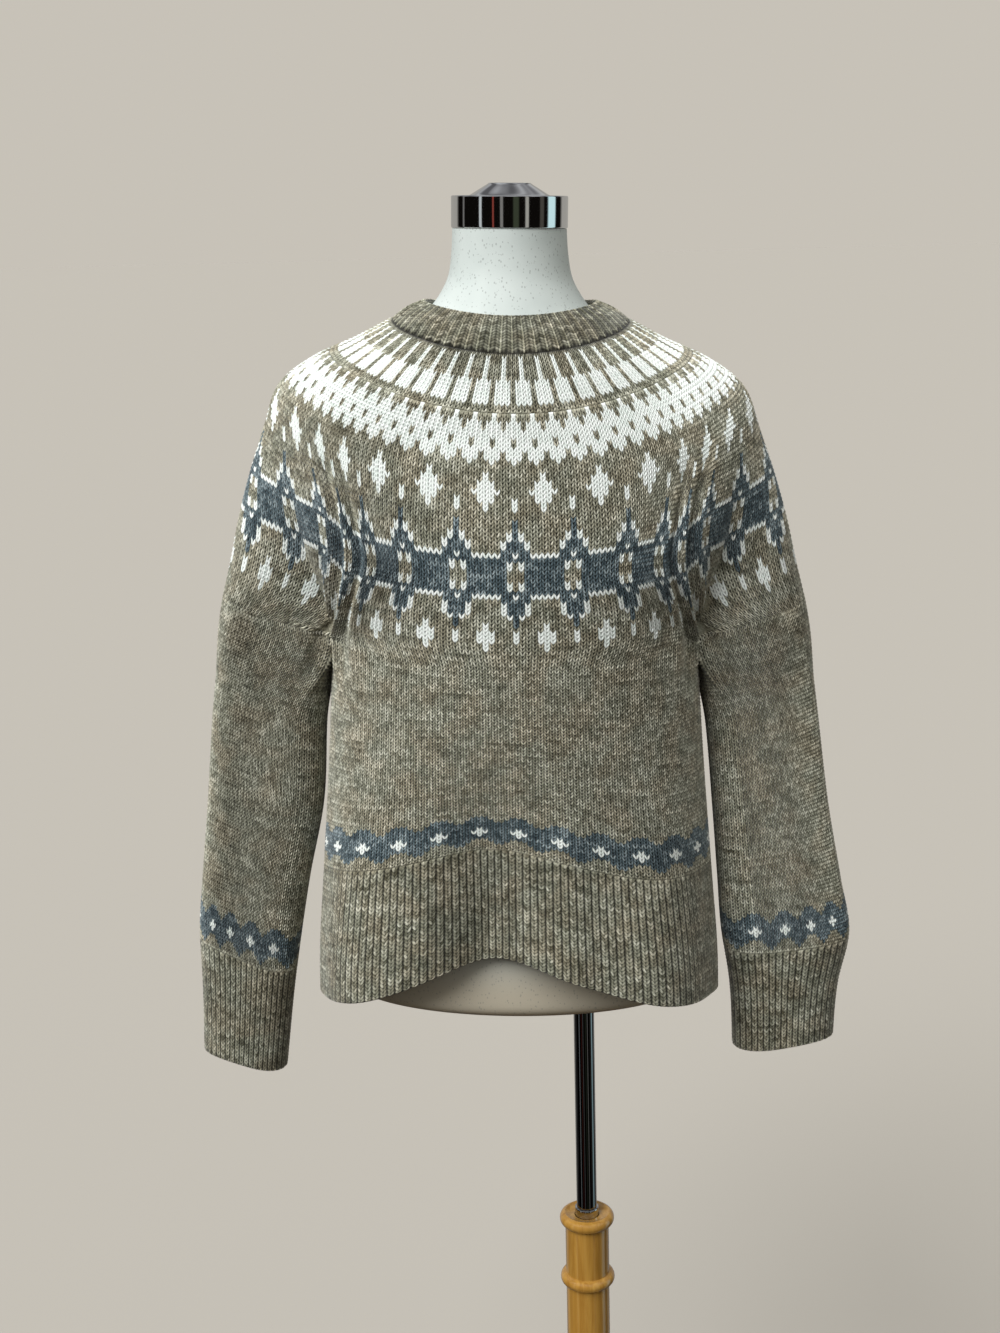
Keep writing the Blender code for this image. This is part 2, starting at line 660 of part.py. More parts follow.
def make_form():
    """The torso: one loft from the neck to the underside, its shoulders just under the yoke."""
    u = yoke_columns()[::2]
    phi = u / YOKE_HALF * math.pi
    rings = [form_ring(phi, FORM_NECK, i) for i in range(len(FORM_NECK["front"]))]
    on_shoulder = ease(1 - np.abs(np.abs(u) - 6) / 4)
    for t in FORM_SHOULDER_ROWS:
        normal = yoke_normal(u, t + 0 * u)
        clear = WALL + SEAT + (1 - on_shoulder) * (FORM_CLEAR + FORM_CLEAR_GROWTH * t)
        rings.append(placed(yoke(u, t + 0 * u)) - clear[:, None] * normal)
    rings += [form_ring(phi, FORM_TORSO, i) for i in range(len(FORM_TORSO["front"]))]
    shell = bmesh.new()
    grid = [[shell.verts.new(p) for p in ring] for ring in rings]
    count = len(u)
    for upper, lower in zip(grid, grid[1:]):
        for j in range(count):
            k = (j + 1) % count
            shell.faces.new((upper[j], upper[k], lower[k], lower[j]))
    shell.faces.new(grid[0])
    shell.faces.new(grid[-1])
    torso = solid("form_torso", shell, "form_shell")
    underside = DATUM - FORM_TORSO["drop_side"][-1]
    cutter = cylinder("form_socket_cutter", POLE_RADIUS + GAP, underside - 0.02, underside + FORM_SOCKET)
    bpy.data.collections[OBJECT].objects.unlink(cutter)
    bpy.data.collections["cutters"].objects.link(cutter)
    cutter.hide_render = True
    cutter.display_type = "WIRE"
    cut = torso.modifiers.new("pole socket", "BOOLEAN")
    cut.operation = "DIFFERENCE"
    cut.object = cutter


def form_ring(phi, rows, i):
    half_width, front, back, *drops = (rows[key][i] for key in rows)
    return placed(ellipse_ring(phi, half_width, front, back, drops))


def cylinder(name, radius, bottom, top):
    rod = bmesh.new()
    bmesh.ops.create_cone(
        rod, cap_ends=True, segments=ROUND_SIDES, radius1=radius, radius2=radius, depth=top - bottom)
    bmesh.ops.translate(rod, verts=rod.verts, vec=(0, 0, (top + bottom) / 2))
    return solid(name, rod, "chrome")


def turned(name, profile, material, loop=False, sides=ROUND_SIDES):
    """A turned piece: its profile, radius and height, runs down the outer side."""
    mesh = bpy.data.meshes.new(name)
    count = len(profile)
    edges = [(i, i + 1) for i in range(count - 1)]
    if loop:
        edges.append((count - 1, 0))
    mesh.from_pydata([(r, 0, z) for r, z in profile], edges, [])
    piece = added(name, mesh, material)
    screw = piece.modifiers.new("turn", "SCREW")
    screw.steps = sides
    screw.render_steps = sides
    screw.use_merge_vertices = True
    screw.merge_threshold = 0.00001
    screw.use_smooth_shade = True
    return piece


def bead(z):
    """Half a round bead on the column, top to bottom."""
    turns = np.linspace(math.pi / 2, -math.pi / 2, 5)
    reach = BEAD_RADIUS - COLUMN_RADIUS
    return [(COLUMN_RADIUS + reach * math.cos(a), z + BEAD_HALF * math.sin(a)) for a in turns]


def make_stand():
    top = COLLAR_Z + BEAD_HALF
    socket_floor = top - POLE_SOCKET
    pole_top = DATUM - FORM_TORSO["drop_side"][-1] + FORM_SOCKET - GAP
    cylinder("pole", POLE_RADIUS, socket_floor + GAP, pole_top)
    bore, seat = POLE_RADIUS + GAP, FERRULE_RADIUS + GAP
    ferrule_foot = top - FERRULE_SEAT + GAP
    ferrule_top = top + FERRULE_RISE
    turned("ferrule", [
        (bore, ferrule_top), (FERRULE_RADIUS - FERRULE_CHAMFER, ferrule_top),
        (FERRULE_RADIUS, ferrule_top - FERRULE_CHAMFER), (FERRULE_RADIUS, ferrule_foot),
        (bore, ferrule_foot),
    ], "chrome", loop=True)
    foot = BASE_HEIGHT + GAP
    turned("stand_column", [
        (0, socket_floor), (bore, socket_floor), (bore, top - FERRULE_SEAT), (seat, top - FERRULE_SEAT),
        (seat, top - 0.002), (COLUMN_RADIUS - 0.002, top - 0.001), *bead(COLLAR_Z), *bead(RING_Z),
        *zip(*COLUMN.values()), (FOOT_RADIUS, foot + FOOT_HEIGHT),
        (FOOT_RADIUS, foot), (0, foot),
    ], "varnished_wood")
    inwards, up = RIM_SIZE
    rim = [(BASE_RADIUS - inwards * (1 - math.sin(a)), BASE_HEIGHT / 2 + up * math.cos(a))
           for a in np.linspace(0, math.pi / 2, 4)]
    turned("stand_base", [
        (0, BASE_HEIGHT), (FOOT_RADIUS + 0.02, BASE_HEIGHT), *rim, (BASE_RADIUS, 0.003),
        (BASE_RADIUS - 0.003, 0), (0, 0),
    ], "varnished_wood", sides=BASE_SIDES)


def make_cap():
    """The cap sits square on the neck, so it leans with the torso."""
    rim = CAP_BOTTOM - CAP_TOP
    dome = [(r, rim + rise) for r, rise in zip(*CAP_DOME.values())]
    cap = turned("neck_cap", dome + [
        (CAP_RADIUS - CAP_CHAMFER, rim), (CAP_RADIUS, rim - CAP_CHAMFER),
        (CAP_RADIUS, CAP_CHAMFER), (CAP_RADIUS - CAP_CHAMFER, 0), (0, 0),
    ], "chrome")
    cap.location = placed((0, 0, CAP_BOTTOM))
    cap.rotation_euler.y = math.atan(TILT)


def main():
    for old in list(bpy.data.objects):
        bpy.data.objects.remove(old, do_unlink=True)
    for name in (OBJECT, "cutters"):
        bpy.context.scene.collection.children.link(bpy.data.collections.new(name))
    make_neckband()
    make_yoke()
    make_body()
    make_hem()
    for side in SLEEVE:
        make_sleeve(side)
        make_cuff(side)
    make_form()
    make_cap()
    make_stand()


main()
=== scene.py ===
"""The looks of a round-yoke fair isle sweater on a limbless dress form with a turned wooden stand.

Every knitted piece is a tube of stitches. A stitch is a V of two legs: its columns and rows lie on the
same surface that the solid has, and the legs stand out of it. Metres, +Z up, front towards -Y.

Places round the knitting are counted in pattern repeats of ten stitches, 0 at the front centre and
positive towards the wearer's left. Heights in the tables are drops below DATUM.
"""

import math

import bpy
import mathutils
import numpy as np
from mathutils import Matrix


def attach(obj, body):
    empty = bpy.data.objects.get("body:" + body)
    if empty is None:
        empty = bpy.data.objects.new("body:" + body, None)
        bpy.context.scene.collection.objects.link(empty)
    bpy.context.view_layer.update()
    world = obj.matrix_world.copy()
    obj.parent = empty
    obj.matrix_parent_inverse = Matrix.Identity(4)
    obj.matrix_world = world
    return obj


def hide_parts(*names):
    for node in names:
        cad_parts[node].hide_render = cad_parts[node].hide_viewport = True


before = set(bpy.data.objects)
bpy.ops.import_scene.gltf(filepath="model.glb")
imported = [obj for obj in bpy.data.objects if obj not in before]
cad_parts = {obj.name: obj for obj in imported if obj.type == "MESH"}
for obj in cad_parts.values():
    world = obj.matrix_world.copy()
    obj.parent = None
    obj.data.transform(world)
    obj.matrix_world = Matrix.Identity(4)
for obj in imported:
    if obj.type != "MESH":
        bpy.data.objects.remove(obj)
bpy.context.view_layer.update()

# The frame that the solids are worked out in
DATUM = 1.470
SPINE_X = -0.053
SPINE_LEAN = 0.011
TILT = 0.030
SIDE_FLAT = 0.020
WALL = 0.0026
NECKBAND_WALL = 0.0045

# Repeats
YOKE_HALF = 12.0
FRONT_CREASE = 4.0
BACK_CREASE = 8.0
UNDERARM = 1.5
BODY_HALF = YOKE_HALF - FRONT_CREASE + UNDERARM
SLEEVE_OUTER = BACK_CREASE - FRONT_CREASE
SLEEVE_ROUND = SLEEVE_OUTER + UNDERARM
STITCHES = 10              # in a repeat
BACK_WALES = 3.0           # repeats of stitches on half the back, and on the sleeve outside the underarm
SLEEVE_WALES = 5.0

# Rows of the yoke's chart, counted up from below the lowest motif, and rows of the other pieces
YOKE_FOOT = -5
MOTIFS_END = 32
TEETH_END = 57
YOKE_END = 72
NARROW_REPEAT = 8          # stitches in a repeat above the teeth, where the knitting is decreased
BODY_ROWS = 62
SLEEVE_ROWS = 92
HEM_RIBS, HEM_ROWS = 150, 34
CUFF_RIBS, CUFF_ROWS = 40, 30
NECK_RIBS, NECK_ROWS = 64, 14

# A stitch: how high its legs stand, and how far its V rises, in rows
LEG_HEIGHT = 0.0012
V_RISE = 1.0
# The tone of a leg: the shares of its own and of the yarn's, which keeps for a run of legs along the row
LEG_SHARE, RUN_SHARE, RUN = 0.42, 0.55, 9
GROUND_TONE, INSIDE_TONE = 0.5, 0.4
# Painted shade: by these shares of tone the yarn of the hem, cuffs and neckband is made darker, standing
# in for less light falling on them
HEM_PAINTED_SHADE, CUFF_PAINTED_SHADE, NECK_PAINTED_SHADE = 0.10, 0.12, 0.13


def table(columns, *rows):
    """Rows of numbers under named columns, as one array a column."""
    return dict(zip(columns.split(), np.array(rows, float).T))


# Where a stitch's mesh columns are, and how high the yarn stands there where two rows meet and between;
# where it stands low, the wool material paints shade
PLAIN_STITCH = table(
    "at meet between", (0.00, -0.10, 0.20), (0.25, 0.45, 1.05), (0.50, -0.70, 0.50), (0.75, 0.45, 1.05))
RIB_STITCH = table(
    "at meet between", (0.00, -0.25, -0.05), (0.27, 0.45, 1.00), (0.50, -0.10, 0.60), (0.73, 0.45, 1.00))
NECK_STITCH = table(
    "at meet between", (0.00, -0.10, 0.15), (0.20, 0.20, 0.55), (0.38, -0.05, 0.25), (0.50, 0.75, 1.10),
    (0.62, -0.05, 0.25), (0.80, 0.20, 0.55))
LIP = 0.5                  # of the wall, how far the edge is turned in
SEAM_HEIGHT = 0.35         # how high the yarn stands along a seam
TUCK = 0.5                 # and how much lower at the neck seam
END_CHAMFER = 0.3          # of the wall, at an end that isn't sewn to anything

# The yoke's rings, from the neck seam (t is 0) to the underarm (1)
YOKE = table(
    "t half_width front back drop_front drop_side drop_back",
    (0.000, 0.1020, 0.0945, 0.0880, 0.115, 0.0930, 0.094),
    (0.125, 0.1365, 0.1050, 0.0990, 0.145, 0.1110, 0.117),
    (0.250, 0.1725, 0.1130, 0.1080, 0.177, 0.1270, 0.145),
    (0.375, 0.2025, 0.1200, 0.1135, 0.210, 0.1500, 0.178),
    (0.500, 0.2165, 0.1255, 0.1150, 0.243, 0.1855, 0.214),
    (0.625, 0.2300, 0.1290, 0.1145, 0.276, 0.2225, 0.251),
    (0.750, 0.2412, 0.1310, 0.1120, 0.309, 0.2595, 0.288),
    (0.875, 0.2500, 0.1315, 0.1090, 0.342, 0.2975, 0.325),
    (1.000, 0.2590, 0.1310, 0.1050, 0.374, 0.3350, 0.360),
)
# Where along its ring, in repeats, each column of the yoke lies: squeezed together near the armholes
WALES = table(
    "t " + " ".join(str(n) for n in range(13)),
    (0.00, 0, 0.95, 1.91, 2.88, 3.85, 4.85, 5.87, 6.96, 8.03, 9.07, 10.07, 11.04, 12),
    (0.17, 0, 0.94, 1.88, 2.80, 3.72, 4.72, 5.87, 7.12, 8.27, 9.30, 10.24, 11.13, 12),
    (0.30, 0, 0.91, 1.82, 2.66, 3.40, 4.20, 5.30, 6.70, 8.05, 9.22, 10.22, 11.12, 12),
    (0.45, 0, 0.86, 1.73, 2.50, 3.05, 3.60, 4.45, 5.75, 7.43, 8.81, 9.96, 11.00, 12),
    (0.58, 0, 0.86, 1.71, 2.33, 2.72, 3.23, 4.18, 5.43, 6.95, 8.40, 9.70, 10.90, 12),
    (0.70, 0, 0.86, 1.70, 2.27, 2.70, 3.25, 4.16, 5.23, 6.45, 7.90, 9.35, 10.70, 12),
    (0.85, 0, 1.00, 2.00, 2.77, 3.23, 3.80, 4.58, 5.33, 6.45, 7.80, 9.22, 10.62, 12),
    (0.93, 0, 1.05, 2.10, 3.00, 3.63, 4.14, 4.80, 5.43, 6.50, 7.88, 9.28, 10.65, 12),
    (1.00, 0, 1.00, 2.00, 3.00, 4.00, 4.48, 5.00, 5.53, 6.58, 8.00, 9.33, 10.67, 12),
)
# The same for a sleeve, counted from the armhole's front crease, and how far down it they settle so
SLEEVE_COLUMNS = np.array((0, 0.68, 1.28, 1.84, 2.80, 4.00))
SLEEVE_SETTLES = 0.3       # of its length
# How far up the yoke its rows are drawn where they pass over the sleeves
RISE = table("t rise", (0.0, 0.0), (0.3, 0.0), (0.63, 0.034), (0.76, 0.050), (0.88, 0.036), (1.0, 0.0))
RISE_INSET_FRONT, RISE_INSET_BACK, RISE_EASE = 0.2, 0.4, 0.8    # repeats
# Upright creases where the columns are squeezed
PLEAT_CENTRE, PLEAT_SPREAD = 4.0, 1.7
PLEAT_WIDTH = 0.85         # repeats from one crease to the next
PLEAT_DEPTH = 0.0036
PLEAT_START, PLEAT_FULL = 0.36, 0.66
PLEAT_FADE = 0.22          # of the body's or sleeve's length, below the yoke
CREASE_START = 0.42
CREASE_DROP_FRONT = 0.366
CREASE_DROP_BACK = 0.360
UNDERARM_DROP = 0.372
SLEEVE_FRONT_BULGE = 0.008

# The body's sections, the drops of its rib and its edge round it, and its folds
BODY = table(
    "drop half_width front back",
    (0.330, 0.162, 0.131, 0.107),
    (0.372, 0.162, 0.131, 0.105),
    (0.450, 0.166, 0.132, 0.101),
    (0.530, 0.172, 0.133, 0.102),
    (0.600, 0.178, 0.134, 0.110),
    (0.660, 0.183, 0.136, 0.116),
    (0.730, 0.185, 0.137, 0.118),
)
BODY_LINES = table(
    "place rib hem",
    (-9.50, 0.585, 0.712),
    (-4.75, 0.585, 0.710),
    (-2.90, 0.565, 0.688),
    (-0.50, 0.536, 0.643),
    (2.40, 0.566, 0.682),
    (4.75, 0.576, 0.704),
    (9.50, 0.585, 0.712),
)
BODY_FOLDS = table(
    "place width depth start",
    (-0.5, 1.6, -0.034, 0.40),
    (-2.9, 1.2, 0.010, 0.43),
    (2.5, 1.4, 0.014, 0.43),
    (-7.7, 1.1, -0.008, 0.42),
    (8.2, 1.3, -0.009, 0.42),
    (-9.4, 1.2, 0.006, 0.45),
)
FOLDS_FULL = 0.68

# A hanging sleeve's sides and depth down its length, and its cuff's seam and end at both sides
SLEEVE = {
    "left": table(
        "drop inner outer half_depth middle",
        (0.330, 0.158, 0.259, 0.034, 0.000),
        (0.372, 0.160, 0.264, 0.034, -0.001),
        (0.440, 0.172, 0.273, 0.033, -0.004),
        (0.530, 0.1805, 0.285, 0.032, -0.008),
        (0.600, 0.186, 0.298, 0.031, -0.010),
        (0.650, 0.190, 0.307, 0.031, -0.011),
        (0.700, 0.198, 0.298, 0.028, -0.012),
        (0.790, 0.203, 0.294, 0.025, -0.012),
    ),
    "right": table(
        "drop inner outer half_depth middle",
        (0.330, 0.158, 0.259, 0.034, 0.000),
        (0.372, 0.160, 0.264, 0.034, -0.001),
        (0.440, 0.171, 0.273, 0.033, -0.004),
        (0.530, 0.178, 0.282, 0.032, -0.008),
        (0.600, 0.193, 0.290, 0.031, -0.010),
        (0.650, 0.202, 0.295, 0.030, -0.011),
        (0.700, 0.210, 0.295, 0.027, -0.012),
        (0.800, 0.223, 0.298, 0.024, -0.012),
    ),
}
CUFF = {
    "left": {"seam": (0.666, 0.655), "end": (0.766, 0.753)},
    "right": {"seam": (0.688, 0.659), "end": (0.788, 0.770)},
}
SLEEVE_FULLNESS = 2.4
SLEEVE_FLATNESS = 0.32
SLEEVE_BLEND = 0.080
SLEEVE_FLARE = 0.22        # so that its outer side goes on in the yoke's slope

# Rings of the neckband from its seam up, and of the form from its neck down
NECKBAND = table(
    "w half_width front back drop_front drop_side drop_back",
    (0.00, 0.1020, 0.0945, 0.0880, 0.1150, 0.0930, 0.0940),
    (0.50, 0.0892, 0.0842, 0.0785, 0.0990, 0.0835, 0.0875),
    (1.00, 0.0735, 0.0705, 0.0662, 0.0850, 0.0765, 0.0835),
)

FORM_NECK = table(
    "half_width front back drop_front drop_side drop_back",
    (0.0490, 0.0490, 0.0490, 0.0161, 0.0161, 0.0161),
    (0.0500, 0.0500, 0.0500, 0.0350, 0.0350, 0.0350),
    (0.0530, 0.0530, 0.0530, 0.0550, 0.0550, 0.0550),
    (0.0600, 0.0590, 0.0590, 0.0740, 0.0700, 0.0780),
    (0.0700, 0.0670, 0.0660, 0.0940, 0.0830, 0.0950),
    (0.0880, 0.0790, 0.0770, 0.1140, 0.0985, 0.1080),
)
FORM_TORSO = table(
    "half_width front back drop_front drop_side drop_back",
    (0.1830, 0.1120, 0.1020, 0.225, 0.165, 0.200),
    (0.1800, 0.1140, 0.1020, 0.255, 0.205, 0.235),
    (0.1600, 0.1160, 0.0980, 0.290, 0.265, 0.280),
    (0.1480, 0.1130, 0.0890, 0.340, 0.340, 0.340),
    (0.1320, 0.0990, 0.0840, 0.430, 0.430, 0.430),
    (0.1260, 0.0900, 0.0850, 0.500, 0.500, 0.500),
    (0.1380, 0.0890, 0.0900, 0.570, 0.570, 0.570),
    (0.1570, 0.0900, 0.0950, 0.640, 0.640, 0.640),
    (0.1640, 0.0890, 0.0970, 0.685, 0.685, 0.685),
    (0.1630, 0.0870, 0.0950, 0.701, 0.701, 0.701),
    (0.1560, 0.0800, 0.0880, 0.708, 0.708, 0.708),
)

# The stand
POLE_RADIUS = 0.00975
FERRULE_RADIUS = 0.0115
COLUMN_RADIUS = 0.0210
BEAD_RADIUS = 0.0265
BEAD_HALF = 0.006
COLLAR_Z = 0.512
RING_Z = 0.448
FERRULE_RISE = 0.006
FOOT_RADIUS = 0.032
FOOT_TOP = 0.050
FOOT_EDGE = 0.004          # the rounding of the column's foot and of the base's lower edge
SHAFT = table("z radius", (0.05, 0.028), (0.10, 0.024), (0.20, 0.022), (0.45, 0.021))
COLUMN_MOUTH = table(
    "radius drop", (0.0190, 0.0012), (0.0121, 0.0025), (0.0115, 0.0040), (0.0010, 0.0040))
BASE_RADIUS = 0.190
BASE_HEIGHT = 0.030
BASE_EDGE = (0.010, 0.012)
POLE_IN_FORM, POLE_IN_COLUMN, FERRULE_IN_COLUMN = 0.04, 0.05, 0.02
CAP_RADIUS = 0.0500
CAP_TOP = -0.0110
CAP_BOTTOM = 0.0158
METAL_EDGE = 0.0012        # the rounding of the cap's and the ferrule's edges
POINT = 0.001              # the radius at which a turned piece is closed
CAP_POINT = 0.0002
BASE_MIDDLE = 0.052        # where the base's flat top is cut into a ring and a disc
CAP_DOME = table(
    "radius rise",
    (0.0000, 0.0105),
    (0.0165, 0.0105),
    (0.0195, 0.0093),
    (0.0335, 0.0008),
    (0.0355, 0.0000),
)

# The photograph's camera
CAMERA_AT = (-0.071, -1.628, 1.470)
CAMERA_PITCH = math.radians(13.87)
CAMERA_ROLL = 0.026
CAMERA_LENS = 50.0

# The yoke's chart: first and last row, then the stitches from the motif's centre outwards, where w is
# white, b is blue and . is the ground. Three letters stand for a small motif, which repeats more often
SMALL_REPEAT = 4
YOKE_CHART = {
    (0, 1): ".....w",
    (2, 4): "w...ww",
    (5, 5): ".....w",
    (6, 6): "b....w",
    (7, 7): "b.....",
    (8, 8): "bw....",
    (9, 11): "bbw...",
    (12, 12): "bbb...",
    (13, 13): "wbbwww",
    (14, 14): "bbbbbb",
    (15, 16): ".wbbbb",
    (17, 19): "..bbbb",
    (20, 21): ".wbbbb",
    (22, 22): "bbbbbb",
    (23, 23): "wbbwww",
    (24, 24): "bbb...",
    (25, 26): "bbw...",
    (27, 28): "bw....",
    (29, 31): "b.....",
    (34, 35): "w....w",
    (36, 36): "w...ww",
    (37, 37): "....ww",
    (38, 38): "...www",
    (39, 40): "....ww",
    (41, 42): ".....w",
    (45, 45): "w..",
    (46, 47): "ww.",
    (48, 48): "www",
    (49, 50): ".ww",
    (51, 52): "www",
    (53, 54): "ww.",
    (55, 56): "w..",
    (59, 64): "..w",
    (65, 70): "..w",
}
WIDE_BARS = (59, 64)       # in these rows the bars are three stitches wide
BODY_MOTIFS, SLEEVE_MOTIFS = 24, 8
BORDER_DOT_ROW = 6         # rows above the rib
BORDER_BELOW, BORDER_ABOVE = 2, 5    # rows of blue below and above the dot's own
BORDER_WAVE = (0, 0, -1, -2, -3)     # rows that the border moves, by the stitches away from its crest


def cubic(s, i, ys, slopes, step=1.0):
    """The cubic with these values and slopes at both ends of step i, at the share s of the step."""
    start = (2 * s**3 - 3 * s**2 + 1) * ys[i] + (s**3 - 2 * s**2 + s) * step * slopes[i]
    end = (3 * s**2 - 2 * s**3) * ys[i + 1] + (s**3 - s**2) * step * slopes[i + 1]
    return start + end


def smooth(at, xs, ys):
    """The cubics through (xs, ys) whose slope at each point is that of the parabola through three."""
    at = np.clip(at, xs[0], xs[-1])
    i = np.clip(np.searchsorted(xs, at, side="right") - 1, 0, len(xs) - 2)
    step = xs[i + 1] - xs[i]
    return cubic((at - xs[i]) / step, i, ys, np.gradient(ys, xs), step)


def read(rows, at, *keys):
    """The columns of a table that are named, or all after its first, at a value of its first."""
    first, *others = rows
    return [smooth(at, rows[first], rows[key]) for key in keys or others]


def ease(x):
    """0 below 0, 1 above 1, and a smooth step between."""
    x = np.clip(x, 0.0, 1.0)
    return x * x * (3 - 2 * x)


def ring_drop(phi, front, side, back):
    """The drop round a ring that has these drops at its front, sides and back."""
    middle = (front + back) / 2
    return (middle + side) / 2 + (front - back) / 2 * np.cos(phi) + (middle - side) / 2 * np.cos(2 * phi)


def ellipse_ring(phi, half_width, front, back, *drops):
    """An egg-shaped ring: x is the sine and y minus the cosine of phi, which is 0 at the front."""
    x = half_width * np.sin(phi)
    y = -np.where(np.cos(phi) > 0, front, back) * np.cos(phi)
    return np.stack([x, y, ring_drop(phi, *drops)], -1)


def by_length(path, count_at):
    """Reads the path, a dense polyline, at these fractions of its length."""
    run = np.concatenate([[0], np.cumsum(np.linalg.norm(np.diff(path, axis=0), axis=1))])
    return np.stack([np.interp(np.asarray(count_at) * run[-1], run, axis) for axis in path.T], -1)


def outline(p, half_width, front, back):
    """Half of a body section: a quarter ellipse in front, a straight side, a quarter ellipse behind."""
    turn_front = np.clip(p, 0, 1) * math.pi / 2
    turn_back = np.clip(p - 2, 0, 1) * math.pi / 2
    x = half_width * np.where(p < 1.5, np.sin(turn_front), np.cos(turn_back))
    y = (2 * np.clip(p - 1, 0, 1) - 1) * SIDE_FLAT
    y = y - (front - SIDE_FLAT) * np.cos(turn_front) + (back - SIDE_FLAT) * np.sin(turn_back)
    return x, y


def outline_place():
    """Which p of the outline each place of the body has, so that its stitches are equally wide."""
    p = np.linspace(0, 3, 601)
    x, y = outline(p, *read(BODY, UNDERARM_DROP + 0 * p))
    run = np.concatenate([[0], np.cumsum(np.hypot(np.diff(x), np.diff(y)))])
    return p, run / run[-1] * BODY_HALF


OUTLINE_P, OUTLINE_PLACE = outline_place()


def round_place(place, half):
    """The same place, counted from minus half to half."""
    return (place + half) % (2 * half) - half


def fold_depth(place, drop):
    """How far the body's folds move its wall outwards: raised cosines that grow down the body."""
    total = np.zeros(np.shape(place))
    for at, width, depth, start in zip(*BODY_FOLDS.values()):
        away = np.abs(round_place(place - at, BODY_HALF))
        shape = 0.5 + 0.5 * np.cos(math.pi * np.clip(away / width, 0, 1))
        total += depth * shape * ease((drop - start) / (FOLDS_FULL - start))
    return total


def body_plan(place, drop):
    """The body's outer surface: the section's outline, moved along its own normal by the folds."""
    p = np.interp(np.abs(place), OUTLINE_PLACE, OUTLINE_P)
    sizes = read(BODY, drop)
    x, y = outline(p, *sizes)
    x_on, y_on = outline(np.minimum(p + 0.01, 3), *sizes)
    x_off, y_off = outline(np.maximum(p - 0.01, 0), *sizes)
    along = np.stack([x_on - x_off, y_on - y_off])
    along = along / np.linalg.norm(along, axis=0)
    depth = fold_depth(place, drop)
    side = np.where(place < 0, -1.0, 1.0)
    return np.stack([side * (x + along[1] * depth), y - along[0] * depth, drop + 0 * x], -1)


def armhole_arc(fraction, half_width):
    """The flat outer face of the sleeve where the yoke ends, from the front fold (0) to the back (1)."""
    front = body_plan(np.array(FRONT_CREASE), np.array(UNDERARM_DROP))
    back = body_plan(np.array(FRONT_CREASE + UNDERARM), np.array(UNDERARM_DROP))
    turn = np.linspace(0, math.pi / 2, 91)
    power = 2 / SLEEVE_FULLNESS
    out, along = np.sin(turn) ** power, np.cos(turn) ** power
    bulge = SLEEVE_FRONT_BULGE * np.sin(2 * turn)
    faces = []
    for crease, sign in ((front, -1), (back, 1)):
        x = crease[0] + (half_width - crease[0]) * out
        y = sign * (abs(crease[1]) * along + bulge)
        drop = CREASE_DROP_FRONT if sign < 0 else CREASE_DROP_BACK
        z = drop + (YOKE["drop_side"][-1] - drop) * out
        faces.append(np.stack([x, y, z], -1))
    halves = [by_length(faces[0], np.linspace(0, 1, 60)), by_length(faces[1], np.linspace(0, 1, 60))]
    path = np.concatenate([halves[0], halves[1][::-1][1:]])
    at = np.linspace(0, 1, len(path))
    return np.stack([np.interp(fraction, at, axis) for axis in path.T], -1)


def creased_ring(u, t):
    """A yoke ring as it is at the underarm: body in front and behind, flat sleeves at the sides."""
    place = np.abs(u)
    side = np.where(u < 0, -1.0, 1.0)
    half_width, front_drop, back_drop = read(YOKE, t, "half_width", "drop_front", "drop_back")
    slack = front_drop - YOKE["drop_front"][-1]
    body_place = np.where(place <= FRONT_CREASE, place, place - BACK_CREASE + FRONT_CREASE + UNDERARM)
    body = body_plan(side * body_place, np.full(np.shape(u), UNDERARM_DROP))
    near_front = place <= (FRONT_CREASE + BACK_CREASE) / 2
    off_centre = np.where(near_front, place, YOKE_HALF - place) / FRONT_CREASE
    edge = np.where(near_front, CREASE_DROP_FRONT, CREASE_DROP_BACK) + slack
    body[..., 2] = np.where(near_front, front_drop, back_drop) * (1 - off_centre**2) + edge * off_centre**2
    arc = armhole_arc(np.clip((place - FRONT_CREASE) / SLEEVE_OUTER, 0, 1), YOKE["half_width"][-1])
    at_outer_fold = 1 - np.clip(np.abs(place - (FRONT_CREASE + BACK_CREASE) / 2) / 2, 0, 1)
    arc[..., 0] = side * (arc[..., 0] + (half_width - YOKE["half_width"][-1]) * at_outer_fold)
    arc[..., 2] += slack
    on_sleeve = (place > FRONT_CREASE) & (place < BACK_CREASE)
    return np.where(on_sleeve[..., None], arc, body)


def yoke(u, t):
    """The yoke's outer surface: an egg-shaped ring at the neck that turns into the creased ring."""
    u, t = np.broadcast_arrays(np.asarray(u, float), np.asarray(t, float))
    plain = ellipse_ring(u / YOKE_HALF * math.pi, *read(YOKE, t))
    share = ease((t - CREASE_START) / (1 - CREASE_START))[..., None]
    points = plain * (1 - share) + creased_ring(u, t) * share
    points[..., 2] += np.maximum(t - 1, 0) * (YOKE["drop_front"][-1] - YOKE["drop_front"][0])
    return points


def underarm_line(place):
    """The drop of the yoke's lower edge above each place of the body: parabolas between the folds."""
    size = np.abs(place)
    back = BODY_HALF - size
    middle = FRONT_CREASE + UNDERARM / 2
    front_drop, back_drop = YOKE["drop_front"][-1], YOKE["drop_back"][-1]
    front_edge = front_drop + (CREASE_DROP_FRONT - front_drop) * (size / FRONT_CREASE) ** 2
    back_edge = back_drop + (CREASE_DROP_BACK - back_drop) * (back / FRONT_CREASE) ** 2
    near = np.where(size < middle, CREASE_DROP_FRONT, CREASE_DROP_BACK)
    away = np.clip(np.abs(size - middle) / (UNDERARM / 2), 0, 1)
    under = UNDERARM_DROP + (near - UNDERARM_DROP) * away**2
    return np.where(size <= FRONT_CREASE, front_edge, np.where(back <= FRONT_CREASE, back_edge, under))


def body_line(place, key):
    """The drop of the rib's or the hem's edge round the body, on a cubic through its table."""
    return read(BODY_LINES, place, key)[0]


